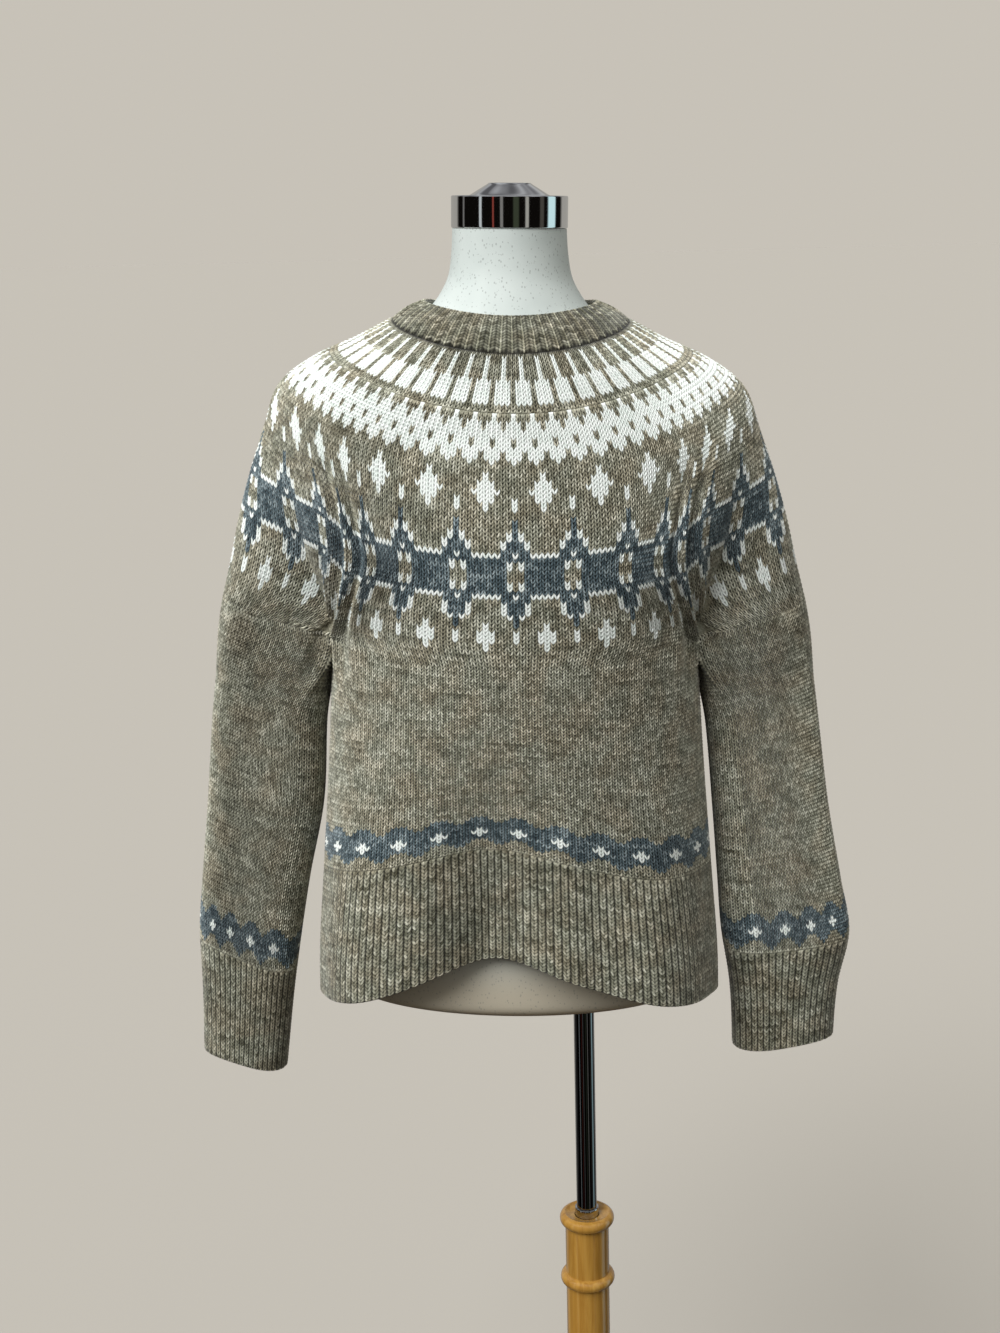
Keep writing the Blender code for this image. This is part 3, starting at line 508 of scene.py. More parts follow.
def across_sleeve(place):
    """0 on the sleeve's inner side, 1 on its outer side."""
    return (1 - np.cos(2 * math.pi * (place + UNDERARM / 2) / SLEEVE_ROUND)) / 2


def sleeve_section(place, drop, side):
    """The flattened section of a hanging sleeve: a superellipse read at equal lengths."""
    turn = np.linspace(0, 2 * math.pi, 481)
    power = 2 / SLEEVE_FULLNESS
    path = np.stack([
        -np.sign(np.cos(turn)) * np.abs(np.cos(turn)) ** power,
        -SLEEVE_FLATNESS * np.sign(np.sin(turn)) * np.abs(np.sin(turn)) ** power], -1)
    unit = by_length(path, (place + UNDERARM / 2) / SLEEVE_ROUND % 1)
    inner, outer, half_depth, middle = read(SLEEVE[side], drop)
    x = (inner + outer) / 2 + (outer - inner) / 2 * unit[..., 0]
    return np.stack([x, middle + half_depth / SLEEVE_FLATNESS * unit[..., 1], drop + 0 * x], -1)


def armhole_plan(place, drop):
    """The sleeve's top edge in plan: the yoke's sleeve face, then back along the body's side."""
    face = armhole_arc(np.clip(place / SLEEVE_OUTER, 0, 1), YOKE["half_width"][-1])
    under = body_plan(FRONT_CREASE + SLEEVE_ROUND - np.clip(place, SLEEVE_OUTER, None), drop)
    under[..., 0] += LEG_HEIGHT
    plan = np.where((place < SLEEVE_OUTER)[..., None], face, under)
    plan[..., 2] = drop
    return plan


def armhole_line(place):
    """The drop of the sleeve's top edge."""
    face = armhole_arc(np.clip(place / SLEEVE_OUTER, 0, 1), YOKE["half_width"][-1])[..., 2]
    under = underarm_line(FRONT_CREASE + SLEEVE_ROUND - np.clip(place, SLEEVE_OUTER, None))
    return np.where(place < SLEEVE_OUTER, face, under)


def sleeve_rings(place, drop, side):
    """The sleeve's outer surface: the armhole's edge, blended down into the flattened section."""
    below = drop - armhole_line(place)
    share = ease(below / SLEEVE_BLEND)[..., None]
    edge = armhole_plan(place, drop)
    edge[..., 0] += SLEEVE_FLARE * below * across_sleeve(place)
    rings = edge * (1 - share) + sleeve_section(place, drop, side) * share
    return rings * (-1 if side == "right" else 1, 1, 1)


def cuff_line(place, side, key):
    """The drop of a cuff's seam or end: a cosine from the sleeve's inner side to its outer side."""
    inner, outer = CUFF[side][key]
    return inner + (outer - inner) * across_sleeve(place)


def placed(points):
    """From spine distances and drops to the frame."""
    points = np.array(points, float)
    across, drop = points[..., 0].copy(), points[..., 2].copy()
    points[..., 0] += SPINE_X - SPINE_LEAN * drop
    points[..., 2] = DATUM - drop - TILT * across
    return points


def wales(u, t):
    """The place on its ring of each column: cubics through the table both ways."""
    size = np.abs(u)
    places = np.arange(13.0)
    total = np.zeros(np.broadcast(u, t).shape)
    for column in range(13):
        unit = (places == column).astype(float)
        total += read(WALES, t, str(column))[0] * smooth(size, places, unit)
    return np.where(u < 0, -total, total)


def pleats(place, share):
    """How far the creases near the armholes move the wall, at this share of their full depth."""
    near = 0.5 + 0.5 * np.cos(math.pi * np.clip((np.abs(place) - PLEAT_CENTRE) / PLEAT_SPREAD, -1, 1))
    return PLEAT_DEPTH * share * near * np.cos(2 * math.pi * (np.abs(place) - PLEAT_CENTRE) / PLEAT_WIDTH)


# Surfaces of the knitted pieces: each takes a place and a fraction, 0 at its foot and 1 at its top, and
# gives the points and how far creases push them outwards

def yoke_surface(first, last):
    """The yoke between two rows: its columns follow WALES, and its rows rise over the sleeves."""
    def surface(place, up):
        row = first + (last - first) * up
        t = (YOKE_END - row) / (YOKE_END - YOKE_FOOT)
        place = round_place(place, YOKE_HALF)
        push = pleats(place, ease((t - PLEAT_START) / (PLEAT_FULL - PLEAT_START)))
        past_front = np.abs(place) - FRONT_CREASE
        over_sleeve = ease((past_front - RISE_INSET_FRONT) / RISE_EASE)
        over_sleeve = over_sleeve * ease((SLEEVE_WALES + RISE_INSET_BACK - past_front) / RISE_EASE)
        t = t - read(RISE, t)[0] * over_sleeve
        return yoke(wales(place, t), t), push
    return surface


def body_surface(place, up):
    """The body from the rib to the yoke: heights in proportion, and wider stitches at the back."""
    place = round_place(place, FRONT_CREASE + UNDERARM + BACK_WALES)
    size = np.abs(place)
    push = pleats(place, ease((up - 1 + PLEAT_FADE) / PLEAT_FADE) * (size < FRONT_CREASE))
    past = np.maximum(size - FRONT_CREASE - UNDERARM, 0)
    place = place + np.sign(place) * past * ((YOKE_HALF - BACK_CREASE) / BACK_WALES - 1)
    top, foot = underarm_line(place), body_line(place, "rib")
    return body_plan(place, foot + (top - foot) * up), push


def hem_surface(place, up):
    """The body's wall from the hem to the rib's upper edge: heights in proportion."""
    place = round_place(place, BODY_HALF)
    top, foot = body_line(place, "rib"), body_line(place, "hem")
    return body_plan(place, foot + (top - foot) * up), 0 * place


def sleeve_surface(side):
    """A sleeve from its cuff to the armhole: its columns spread from the yoke's to their own."""
    def surface(place, up):
        place = place % (SLEEVE_WALES + UNDERARM)
        push = pleats(FRONT_CREASE + place, ease((up - 1 + PLEAT_FADE) / PLEAT_FADE))
        share = ease((1 - up) / SLEEVE_SETTLES)
        across = np.minimum(place, SLEEVE_WALES)
        above = wales(FRONT_CREASE + across, np.array(1.0)) - FRONT_CREASE
        outside = above * (1 - share) + smooth(across, np.arange(6.0), SLEEVE_COLUMNS) * share
        place = outside + np.maximum(place - SLEEVE_WALES, 0)
        top, foot = armhole_line(place), cuff_line(place, side, "seam")
        return sleeve_rings(place, foot + (top - foot) * up, side), push
    return surface


def cuff_surface(side):
    """The sleeve's wall from the cuff's end to its seam: heights in proportion."""
    def surface(place, up):
        place = place % SLEEVE_ROUND
        top, foot = cuff_line(place, side, "seam"), cuff_line(place, side, "end")
        return sleeve_rings(place, foot + (top - foot) * up, side), 0 * place
    return surface


def neckband_surface(place, up):
    """Egg-shaped rings from the neck seam up, their sizes on cubics through NECKBAND."""
    return ellipse_ring(place / YOKE_HALF * math.pi, *read(NECKBAND, up)), 0 * place


# Charts: each gives 0 for the ground, 1 for white and 2 for blue at a stitch and a row

def yoke_chart(stitch, row):
    """Each row of the chart, mirrored about its motif's centre stitch and repeated round the yoke."""
    colour = np.zeros(np.broadcast(stitch, row).shape, int)
    for (first, last), half in YOKE_CHART.items():
        away = np.abs(round_place(stitch, (SMALL_REPEAT if len(half) == 3 else STITCHES) // 2))
        code = np.array([".wb".index(mark) for mark in half])[np.minimum(away, len(half) - 1)]
        wide = (first, last) == WIDE_BARS
        code = np.where(wide & (away >= 1), 1, code)
        colour = np.where((row >= first) & (row <= last), code, colour)
    return colour


def border_chart(stitches, motifs):
    """The wavy border just above a rib, with a dot of five stitches in each crest."""
    def chart(stitch, row):
        nearest = np.round(stitch * motifs / stitches)
        away = np.abs(stitch - np.round(nearest * stitches / motifs)).astype(int)
        row = row - BORDER_DOT_ROW
        shift = np.array(BORDER_WAVE)[np.minimum(away, len(BORDER_WAVE) - 1)]
        blue = (row >= shift - BORDER_BELOW) & (row <= shift + BORDER_ABOVE)
        dot = np.abs(row) + away <= 1
        return np.where(dot, 1, np.where(blue, 2, 0))
    return chart


def plain_chart(stitch, row):
    """The ground all over."""
    return np.zeros(np.broadcast(stitch, row).shape, int)


# Meshes

SHARP, SHARP_TURNED = math.radians(75), math.radians(35)    # edges at greater angles aren't smoothed


def mesh_object(name, points, faces, material, sharp=SHARP):
    """An object from an array of points and arrays of faces, each with its own number of corners."""
    mesh = bpy.data.meshes.new(name)
    corners = np.concatenate([f.ravel() for f in faces])
    sizes = np.concatenate([np.full(len(f), f.shape[1]) for f in faces])
    mesh.vertices.add(len(points))
    mesh.vertices.foreach_set("co", points.astype(np.float32).ravel())
    mesh.loops.add(len(corners))
    mesh.loops.foreach_set("vertex_index", corners.astype(np.int32))
    mesh.polygons.add(len(sizes))
    starts = np.concatenate([[0], np.cumsum(sizes)[:-1]])
    mesh.polygons.foreach_set("loop_start", starts.astype(np.int32))
    mesh.update(calc_edges=True)
    mesh.validate()
    mesh.shade_smooth()
    mesh.set_sharp_from_angle(angle=sharp)
    piece = bpy.data.objects.new(name, mesh)
    piece.data.materials.append(material)
    bpy.context.scene.collection.objects.link(piece)
    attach(piece, "root")
    return piece


def grid_quads(rows, columns, first=0, flip=False):
    """Faces of a grid that is closed round its columns, facing outwards when rows go up."""
    i = np.arange(rows - 1)[:, None] * columns + first
    j = np.arange(columns)[None, :]
    k = (j + 1) % columns
    quads = np.stack([i + j, i + k, i + k + columns, i + j + columns], -1).reshape(-1, 4)
    return quads[:, ::-1] if flip else quads


def rim(outer_row, inner_row, step, facing_up):
    """Faces between a fine row of points and a coarse one, which has one point to its step."""
    fine, coarse = len(outer_row), len(inner_row)
    j = np.arange(coarse)[:, None]
    outer = outer_row[(j * step + np.arange(step + 1)[None, :]) % fine]
    inner = inner_row[np.concatenate([(j + 1) % coarse, j], axis=1)]
    faces = np.concatenate([outer, inner], axis=1)
    return faces if facing_up else faces[:, ::-1]


def surface_normals(points):
    """Outward normals of a grid closed round its columns, whose rows go up."""
    along = np.roll(points, -1, 1) - np.roll(points, 1, 1)
    up = np.gradient(points, axis=0)
    normal = np.cross(along, up)
    return normal / np.linalg.norm(normal, axis=-1, keepdims=True)


def knit(name, nodes, surface, places, stitches, rows, chart, shape=PLAIN_STITCH, first_row=0,
         joined=(True, True), free=(False, False), sunk=(0, 0), mirrored=False, wall=WALL, inside=1,
         darker=0.0, seed=1):
    """A tube of stitches. Its columns follow shape across each stitch, and its row lines are zigzags, so
    that each stitch is a V; a leg's height is its column's height, less where the next stitch grips it.
    Of joined, free and sunk, the first is for the piece's foot and the second for its top."""
    across = len(shape["at"])
    at = (np.arange(stitches)[:, None] + shape["at"][None, :]).ravel()[None, :] - 0.5
    tooth = np.tile(2 * np.abs(2 * shape["at"] - 1) - 1, stitches)[None, :]
    row = np.arange(2 * rows + 1)[:, None] / 2
    spread = (1 if joined[0] else np.clip(row, 0, 1)) * (1 if joined[1] else np.clip(rows - row, 0, 1))
    up = (row + V_RISE / 2 * tooth * spread) / rows
    base, push = surface(at * places / stitches + 0 * up, up)
    base = placed(base)
    facing = -1 if mirrored else 1
    base = base + push[..., None] * surface_normals(base) * facing
    normal = surface_normals(base) * facing
    halfway = np.arange(2 * rows + 1)[:, None] % 2
    height = np.where(halfway, np.tile(shape["between"], stitches), np.tile(shape["meet"], stitches))
    for end in (0, -1):
        if not joined[end] and not free[end]:
            height[end] = SEAM_HEIGHT
    height[:2] -= sunk[0]
    height[-2:] -= sunk[1]
    chamfer = np.zeros((2 * rows + 1, 1, 1))
    chamfer[0] = END_CHAMFER * wall * free[0]
    chamfer[-1] = END_CHAMFER * wall * free[1]
    outer = base + (LEG_HEIGHT * height[..., None] - chamfer) * normal
    lips = base[[0, -1]] - LIP * wall * normal[[0, -1]]
    outer = np.concatenate([lips[:1], outer, lips[1:]])
    height = np.concatenate([height[:1], height, height[-1:]])
    rows_in = np.unique(np.append(np.arange(0, 2 * rows + 1, 4 * inside), 2 * rows))
    inner = (base - (wall - chamfer) * normal)[rows_in][:, ::across * inside]
    fine, coarse, last = outer.shape[1], inner.shape[1], 2 * rows + 2
    start = outer.shape[0] * fine
    number = np.arange(start + len(rows_in) * coarse)
    faces = [
        grid_quads(last + 1, fine, flip=mirrored),
        grid_quads(len(rows_in), coarse, first=start, flip=not mirrored),
        rim(number[:fine], number[start:start + coarse], across * inside, mirrored),
        rim(number[last * fine:start], number[-coarse:], across * inside, not mirrored),
    ]
    points = np.concatenate([outer.reshape(-1, 3), inner.reshape(-1, 3)])
    piece = mesh_object(name, points, faces, wool())
    paint_stitches(piece, faces, stitches, across, rows, chart, first_row, height, darker, seed)
    if nodes:
        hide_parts(*nodes)


def paint_stitches(piece, faces, stitches, across, rows, chart, first_row, height, darker, seed):
    """The yarn of each leg on its faces' corners: white, blue and a tone of its own, and on the points how
    high the yarn stands, which the wool material turns into painted shade where it is low."""
    rng = np.random.default_rng(seed)
    stitch = np.repeat(np.arange(stitches), across)[None, :]
    row = np.clip((np.arange(2 * rows + 2) - 1) // 2, 0, rows - 1)
    code = chart(stitch, row[:, None] + first_row)
    runs = rng.random((rows, stitches * 2))
    runs = sum(np.roll(runs, step, axis=1) for step in range(RUN)) / RUN - 0.5
    own = rng.random((rows, stitches * 2)) - 0.5
    # darker is painted shade: it lowers the tone of every leg of the piece
    legs = (GROUND_TONE - darker + LEG_SHARE * own + RUN_SHARE * runs)[row]
    tone = np.repeat(legs, across // 2, axis=1)
    outer = np.stack([code == 1, code == 2, tone, np.ones(code.shape)], -1).reshape(-1, 4)
    rest = sum(f.shape[0] * f.shape[1] for f in faces[1:])
    inside = np.tile([0.0, 0.0, INSIDE_TONE, 0.0], (rest, 1))
    colours = np.concatenate([np.repeat(outer, 4, axis=0), inside])
    yarn = piece.data.attributes.new("yarn", "FLOAT_COLOR", "CORNER")
    yarn.data.foreach_set("color", colours.astype(np.float32).ravel())
    # Points of the inside get a middle height, so the wool material paints some shade on them too
    relief = np.full(len(piece.data.vertices), 0.5)
    relief[:height.size] = height.ravel()
    stand = piece.data.attributes.new("relief", "FLOAT", "POINT")
    stand.data.foreach_set("value", relief.astype(np.float32))


# Materials

def srgb(red, green, blue):
    """A colour as it looks on a screen, 0 to 255, as the shader wants it."""
    screen = np.array([red, green, blue]) / 255
    linear = np.where(screen <= 0.04045, screen / 12.92, ((screen + 0.055) / 1.055) ** 2.4)
    return (*(float(v) for v in linear), 1.0)


class Nodes:
    """The nodes of a new material or world, made and joined by short calls."""

    def __init__(self, owner):
        owner.use_nodes = True
        self.owner = owner
        self.tree = owner.node_tree

    def add(self, kind, settings=None, **inputs):
        """A new node: a keyword is a socket's name with underscores, or n and its number."""
        node = self.tree.nodes.new(kind)
        for key, value in (settings or {}).items():
            setattr(node, key, value)
        for key, value in inputs.items():
            self.set(node, key.replace("_", " "), value)
        return node

    def set(self, node, socket, value):
        """Joins a socket to another node's output, or gives it a fixed value."""
        socket = int(socket[1:]) if socket[:1] == "n" and socket[1:].isdigit() else socket
        if isinstance(value, bpy.types.NodeSocket):
            self.tree.links.new(value, node.inputs[socket])
        else:
            node.inputs[socket].default_value = value

    def finish(self, **inputs):
        """Sets the material's shader, and gives the material."""
        for key, value in inputs.items():
            self.set(self.tree.nodes["Principled BSDF"], key.replace("_", " "), value)
        return self.owner

    def math(self, operation, first, second=0.0, third=0.0):
        """A sum of up to three values: MULTIPLY_ADD is first times second plus third."""
        node = self.add("ShaderNodeMath", {"operation": operation}, n0=first, n1=second, n2=third)
        return node.outputs[0]

    def place(self):
        """The point on the object, in metres."""
        return self.add("ShaderNodeTexCoord").outputs["Object"]

    def noise(self, scale, detail=2.0, roughness=0.5, vector=None, distortion=0.0):
        """Cloudy noise from 0 to 1, with this many waves to the metre."""
        node = self.add(
            "ShaderNodeTexNoise", Vector=self.place() if vector is None else vector, Scale=scale,
            Detail=detail, Roughness=roughness, Distortion=distortion)
        return node.outputs["Fac"]

    def spread(self, value, low, high, to_low=0.0, to_high=1.0, kind="LINEAR"):
        """Carries the range from low to high over to another range."""
        node = self.add(
            "ShaderNodeMapRange", {"interpolation_type": kind}, Value=value, From_Min=low, From_Max=high,
            To_Min=to_low, To_Max=to_high)
        return node.outputs["Result"]

    def ramp(self, factor, *stops):
        """A colour by a factor: each stop is a position and its colour."""
        node = self.add("ShaderNodeValToRGB", Fac=factor)
        elements = node.color_ramp.elements
        while len(elements) < len(stops):
            elements.new(0.5)
        for element, (position, colour) in zip(elements, stops):
            element.position = position
            element.color = colour
        return node.outputs["Color"]

    def strip(self, factor, stops):
        """A colour by a factor, from many stops: ramps hold at most 32, so the strip is cut in halves."""
        cut = len(stops) // 2
        edge = stops[cut][0]
        low = self.ramp(factor, *stops[:cut + 1])
        high = self.ramp(factor, *stops[cut:])
        return self.mix(self.math("GREATER_THAN", factor, edge), low, high)

    def mix(self, factor, first, second, blend="MIX"):
        """From the first colour to the second by a factor, or both blended."""
        node = self.add("ShaderNodeMix", {"data_type": "RGBA", "blend_type": blend})
        self.set(node, "n0", factor)
        self.set(node, "n6", first)
        self.set(node, "n7", second)
        return node.outputs[2]

    def bump(self, height, strength, distance):
        """A normal tilted by the slope of a height."""
        node = self.add("ShaderNodeBump", Height=height, Strength=strength, Distance=distance)
        return node.outputs["Normal"]


def wool():
    """Heathered wool: flecks and clouds over each leg's own tone, with painted shade where the yarn stands
    low between the legs.
    """
    if "wool" in bpy.data.materials:
        return bpy.data.materials["wool"]
    n = Nodes(bpy.data.materials.new("wool"))
    yarn = n.add("ShaderNodeAttribute", {"attribute_name": "yarn"})
    relief = n.add("ShaderNodeAttribute", {"attribute_name": "relief"}).outputs["Fac"]
    parts = n.add("ShaderNodeSeparateColor", Color=yarn.outputs["Color"])
    white, blue, tone = (parts.outputs[key] for key in ("Red", "Green", "Blue"))
    fleck = n.noise(900.0, 2.0, 0.6)
    cloud = n.noise(55.0, 3.0, 0.6)
    tint = n.noise(42.0, 2.0, 0.5)
    mixed = n.math("MULTIPLY_ADD", fleck, 0.9, n.math("SUBTRACT", tone, 0.45))
    mixed = n.math("ADD", mixed, n.math("MULTIPLY_ADD", cloud, 0.5, -0.25))
    grey = n.ramp(mixed, (0.05, srgb(80, 80, 63)), (0.5, srgb(164, 165, 146)), (0.95, srgb(249, 249, 231)))
    warm = n.ramp(mixed, (0.05, srgb(82, 77, 58)), (0.5, srgb(167, 161, 139)), (0.95, srgb(251, 245, 222)))
    ground = n.mix(n.ramp(tint, (0.40, (0, 0, 0, 1)), (0.64, (1, 1, 1, 1))), grey, warm)
    dyed = n.ramp(mixed, (0.05, srgb(37, 50, 58)), (0.5, srgb(97, 115, 122)), (0.95, srgb(188, 203, 207)))
    pale = n.ramp(mixed, (0.1, srgb(230, 240, 234)), (0.6, srgb(250, 255, 252)))
    colour = n.mix(white, n.mix(blue, ground, dyed), pale)
    # Painted shade: the colour is darkened where the yarn stands low, between the legs and in each V's
    # hole, least for white yarn
    painted_shade_deepest = n.math("MULTIPLY_ADD", white, 0.38, 0.06)
    lit_from = n.math("MULTIPLY_ADD", white, -0.3, 0.9)
    shade = n.spread(relief, -0.2, lit_from, painted_shade_deepest, 1.0, "SMOOTHSTEP")
    fibres = n.noise(2600.0, 3.0, 0.7)
    return n.finish(
        Base_Color=n.mix(1.0, colour, shade, "MULTIPLY"), Roughness=0.92, Sheen_Weight=0.25,
        Sheen_Roughness=0.5, Specular_IOR_Level=0.2, Normal=n.bump(fibres, 0.5, 0.0004))


def form_shell():
    """Off-white satin shell with small grey specks, seldom and uneven, with painted shade and warm bounce
    light towards its foot, where it shows under the hem.
    """
    n = Nodes(bpy.data.materials.new("speckled_shell"))
    place = n.place()
    axes = n.add("ShaderNodeSeparateXYZ", Vector=place).outputs
    tall = n.add("ShaderNodeMapping", Vector=place, Scale=(1.0, 1.0, 0.6))
    dots = n.add("ShaderNodeTexVoronoi", Vector=tall.outputs[0], Scale=420.0, Randomness=1.0)
    near = n.math("LESS_THAN", dots.outputs["Distance"], 0.26)
    some = n.math("GREATER_THAN", n.noise(240.0, 1.0), 0.50)
    speck = n.math("MULTIPLY", n.math("MULTIPLY", near, some), 0.42)
    tint = n.ramp(n.noise(30.0, 2.0), (0.3, srgb(196, 205, 202)), (0.7, srgb(206, 214, 211)))
    # Painted shade and bounce light: below the hem the shell is made darker and warmer, standing in for
    # the sweater's shadow and its warm light
    foot = n.spread(axes["Z"], 0.78, 0.86, 1.0, 0.0, "SMOOTHSTEP")
    tint = n.mix(foot, tint, srgb(186, 178, 160))
    colour = n.mix(speck, tint, srgb(110, 112, 110))
    return n.finish(Base_Color=colour, Roughness=0.55, Normal=n.bump(n.noise(900.0), 0.12, 0.0005))


def chrome(name, tone):
    """Polished chrome of this tone, 0 to 255, with faint wiping marks in its roughness."""
    n = Nodes(bpy.data.materials.new(name))
    marks = n.spread(n.noise(60.0, 4.0), 0.0, 1.0, 0.03, 0.09)
    return n.finish(Base_Color=srgb(tone - 1, tone, tone + 2), Metallic=1.0, Roughness=marks)


def varnished_wood(name, axis):
    """Golden wood under glossy varnish: long grain lines along this axis, with pores and a wavy tone."""
    n = Nodes(bpy.data.materials.new(name))

    def stretched(share):
        scale = [share if k == axis else 1.0 for k in range(3)]
        return n.add("ShaderNodeMapping", Vector=n.place(), Scale=scale).outputs[0]

    laid = stretched(0.06)
    broad = n.math("MULTIPLY", n.noise(28.0, 3.0, 0.5, laid), 0.4)
    both = n.math("MULTIPLY_ADD", n.noise(160.0, 6.0, 0.65, laid, 0.6), 0.6, broad)
    colour = n.ramp(
        both, (0.30, srgb(136, 94, 34)), (0.48, srgb(163, 121, 53)), (0.62, srgb(182, 141, 68)),
        (0.75, srgb(196, 156, 84)))
    pores = n.noise(900.0, vector=stretched(0.03))
    return n.finish(
        Base_Color=colour, Roughness=0.26, Normal=n.bump(pores, 0.08, 0.0004), Coat_Weight=0.8,
        Coat_Roughness=0.08)


# The sweater

def make_yoke():
    """Three bands of one tube, the uppermost with narrower repeats and tucked in at the neck seam."""
    bands = (
        ("yoke_motifs", ["yoke"], YOKE_FOOT, MOTIFS_END, STITCHES, (True, True), 0),
        ("yoke_teeth", [], MOTIFS_END, TEETH_END, STITCHES, (True, False), 0),
        ("yoke_bars", [], TEETH_END, YOKE_END, NARROW_REPEAT, (False, False), TUCK),
    )
    for seed, (name, nodes, first, last, repeat, joined, sunk) in enumerate(bands):
        stitches = int(2 * YOKE_HALF * repeat)
        knit(name, nodes, yoke_surface(first, last), 2 * YOKE_HALF, stitches, last - first,
             yoke_chart, first_row=first, joined=joined, sunk=(0, sunk), inside=2, seed=seed)


def make_body():
    """The body and its ribbed hem, one tube each."""
    places = 2 * (FRONT_CREASE + UNDERARM + BACK_WALES)
    stitches = int(places * STITCHES)
    knit("body", ["body_front", "body_back"], body_surface, places, stitches, BODY_ROWS,
         border_chart(stitches, BODY_MOTIFS), joined=(False, True), inside=2, seed=11)
    knit("hem", ["hem_rib"], hem_surface, 2 * BODY_HALF, HEM_RIBS, HEM_ROWS, plain_chart,
         RIB_STITCH, joined=(False, False), free=(True, False), darker=HEM_PAINTED_SHADE, seed=12)


def make_sleeve(side, seed):
    """A sleeve and its ribbed cuff."""
    mirrored = side == "right"
    places = SLEEVE_WALES + UNDERARM
    stitches = int(places * STITCHES)
    name = "sleeve_knit_" + side
    knit(name, ["sleeve_" + side], sleeve_surface(side), places, stitches, SLEEVE_ROWS,
         border_chart(stitches, SLEEVE_MOTIFS), joined=(False, True), mirrored=mirrored, seed=seed)
    knit("cuff_knit_" + side, ["cuff_" + side], cuff_surface(side), SLEEVE_ROUND, CUFF_RIBS,
         CUFF_ROWS, plain_chart, RIB_STITCH, joined=(False, False), free=(True, False), mirrored=mirrored,
         darker=CUFF_PAINTED_SHADE, seed=seed + 1)


def make_neckband():
    """The folded neckband, tucked in at the neck seam."""
    knit("neckband_knit", ["neckband"], neckband_surface, 2 * YOKE_HALF, NECK_RIBS, NECK_ROWS,
         plain_chart, NECK_STITCH, joined=(False, False), free=(False, True), sunk=(TUCK, 0),
         wall=NECKBAND_WALL - LEG_HEIGHT, darker=NECK_PAINTED_SHADE, seed=31)


# The form and its stand

FORM_COLUMNS = 144
ROUND_COLUMNS = 96


def along_rows(rings, per_row):
    """The rings with more between them, on cubics through their points."""
    rows = np.arange(len(rings), dtype=float)
    at = np.linspace(0, rows[-1], int(rows[-1]) * per_row + 1)
    i = np.minimum(at.astype(int), len(rings) - 2)
    return cubic((at - i)[:, None, None], i, rings, np.gradient(rings, axis=0))


def make_form():
    """The torso: rings from the neck to the underside, closed by a point at each end."""
    phi = np.arange(FORM_COLUMNS) / FORM_COLUMNS * 2 * math.pi
    rings = [ellipse_ring(phi, *row) for rows in (FORM_NECK, FORM_TORSO) for row in zip(*rows.values())]
    rings = along_rows(np.array(rings), 4)[::-1]
    ends = [ring.mean(0) + (ring - ring.mean(0)) * POINT for ring in (rings[0], rings[-1])]
    points = placed(np.concatenate([ends[:1], rings, ends[1:]]))
    turned_mesh("form_skin", points, form_shell(), "form_torso")


def turned_mesh(name, points, material, node, sharp=SHARP):
    """Rings of points, from the foot up, with a face over the ring at each end."""
    rows, columns = points.shape[:2]
    faces = [
        grid_quads(rows, columns),
        np.arange(columns)[None, ::-1],
        np.arange((rows - 1) * columns, rows * columns)[None, :],
    ]
    piece = mesh_object(name, points.reshape(-1, 3), faces, material, sharp)
    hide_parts(node)


def turned(name, profile, material, node, lean=False):
    """A turned piece: a profile of radius and height, from its foot to its top, carried round the axis.
    One that leans is tilted with the neck and stands on it."""
    profile = np.array(profile, float)
    phi = np.arange(ROUND_COLUMNS) / ROUND_COLUMNS * 2 * math.pi
    radius, height = profile[:, 0][:, None], profile[:, 1][:, None]
    points = np.stack([radius * np.sin(phi), -radius * np.cos(phi), height + 0 * phi], -1)
    if lean:
        angle = math.atan(TILT)
        x, z = points[..., 0].copy(), points[..., 2].copy()
        points[..., 0] = x * math.cos(angle) + z * math.sin(angle)
        points[..., 2] = z * math.cos(angle) - x * math.sin(angle)
        points = points + placed((0, 0, CAP_BOTTOM))
    turned_mesh(name, points, material, node, SHARP_TURNED)


def arc(centre, radii, first, last, count):
    """Points of an ellipse arc, from one angle to another in degrees, 0 outwards and 90 up."""
    turn = np.radians(np.linspace(first, last, count))
    return [(centre[0] + radii[0] * math.cos(a), centre[1] + radii[1] * math.sin(a)) for a in turn]


def make_cap():
    """The cap: a rounded rim, and a low dome on a cubic through its table."""
    side = CAP_BOTTOM - CAP_TOP
    steps = np.arange(len(CAP_DOME["rise"]), dtype=float)
    at = np.linspace(0, steps[-1], 25)
    radius = smooth(at, steps, CAP_DOME["radius"][::-1])
    radius[-1] = CAP_POINT
    centre = CAP_RADIUS - METAL_EDGE
    profile = [
        (POINT, 0), *arc((centre, METAL_EDGE), (METAL_EDGE, METAL_EDGE), -90, 0, 6),
        *arc((centre, side - METAL_EDGE), (METAL_EDGE, METAL_EDGE), 0, 90, 8),
        *zip(radius, smooth(at, steps, (side + CAP_DOME["rise"])[::-1]))]
    turned("cap_chrome", profile, chrome("polished_chrome", 226), "neck_cap", lean=True)


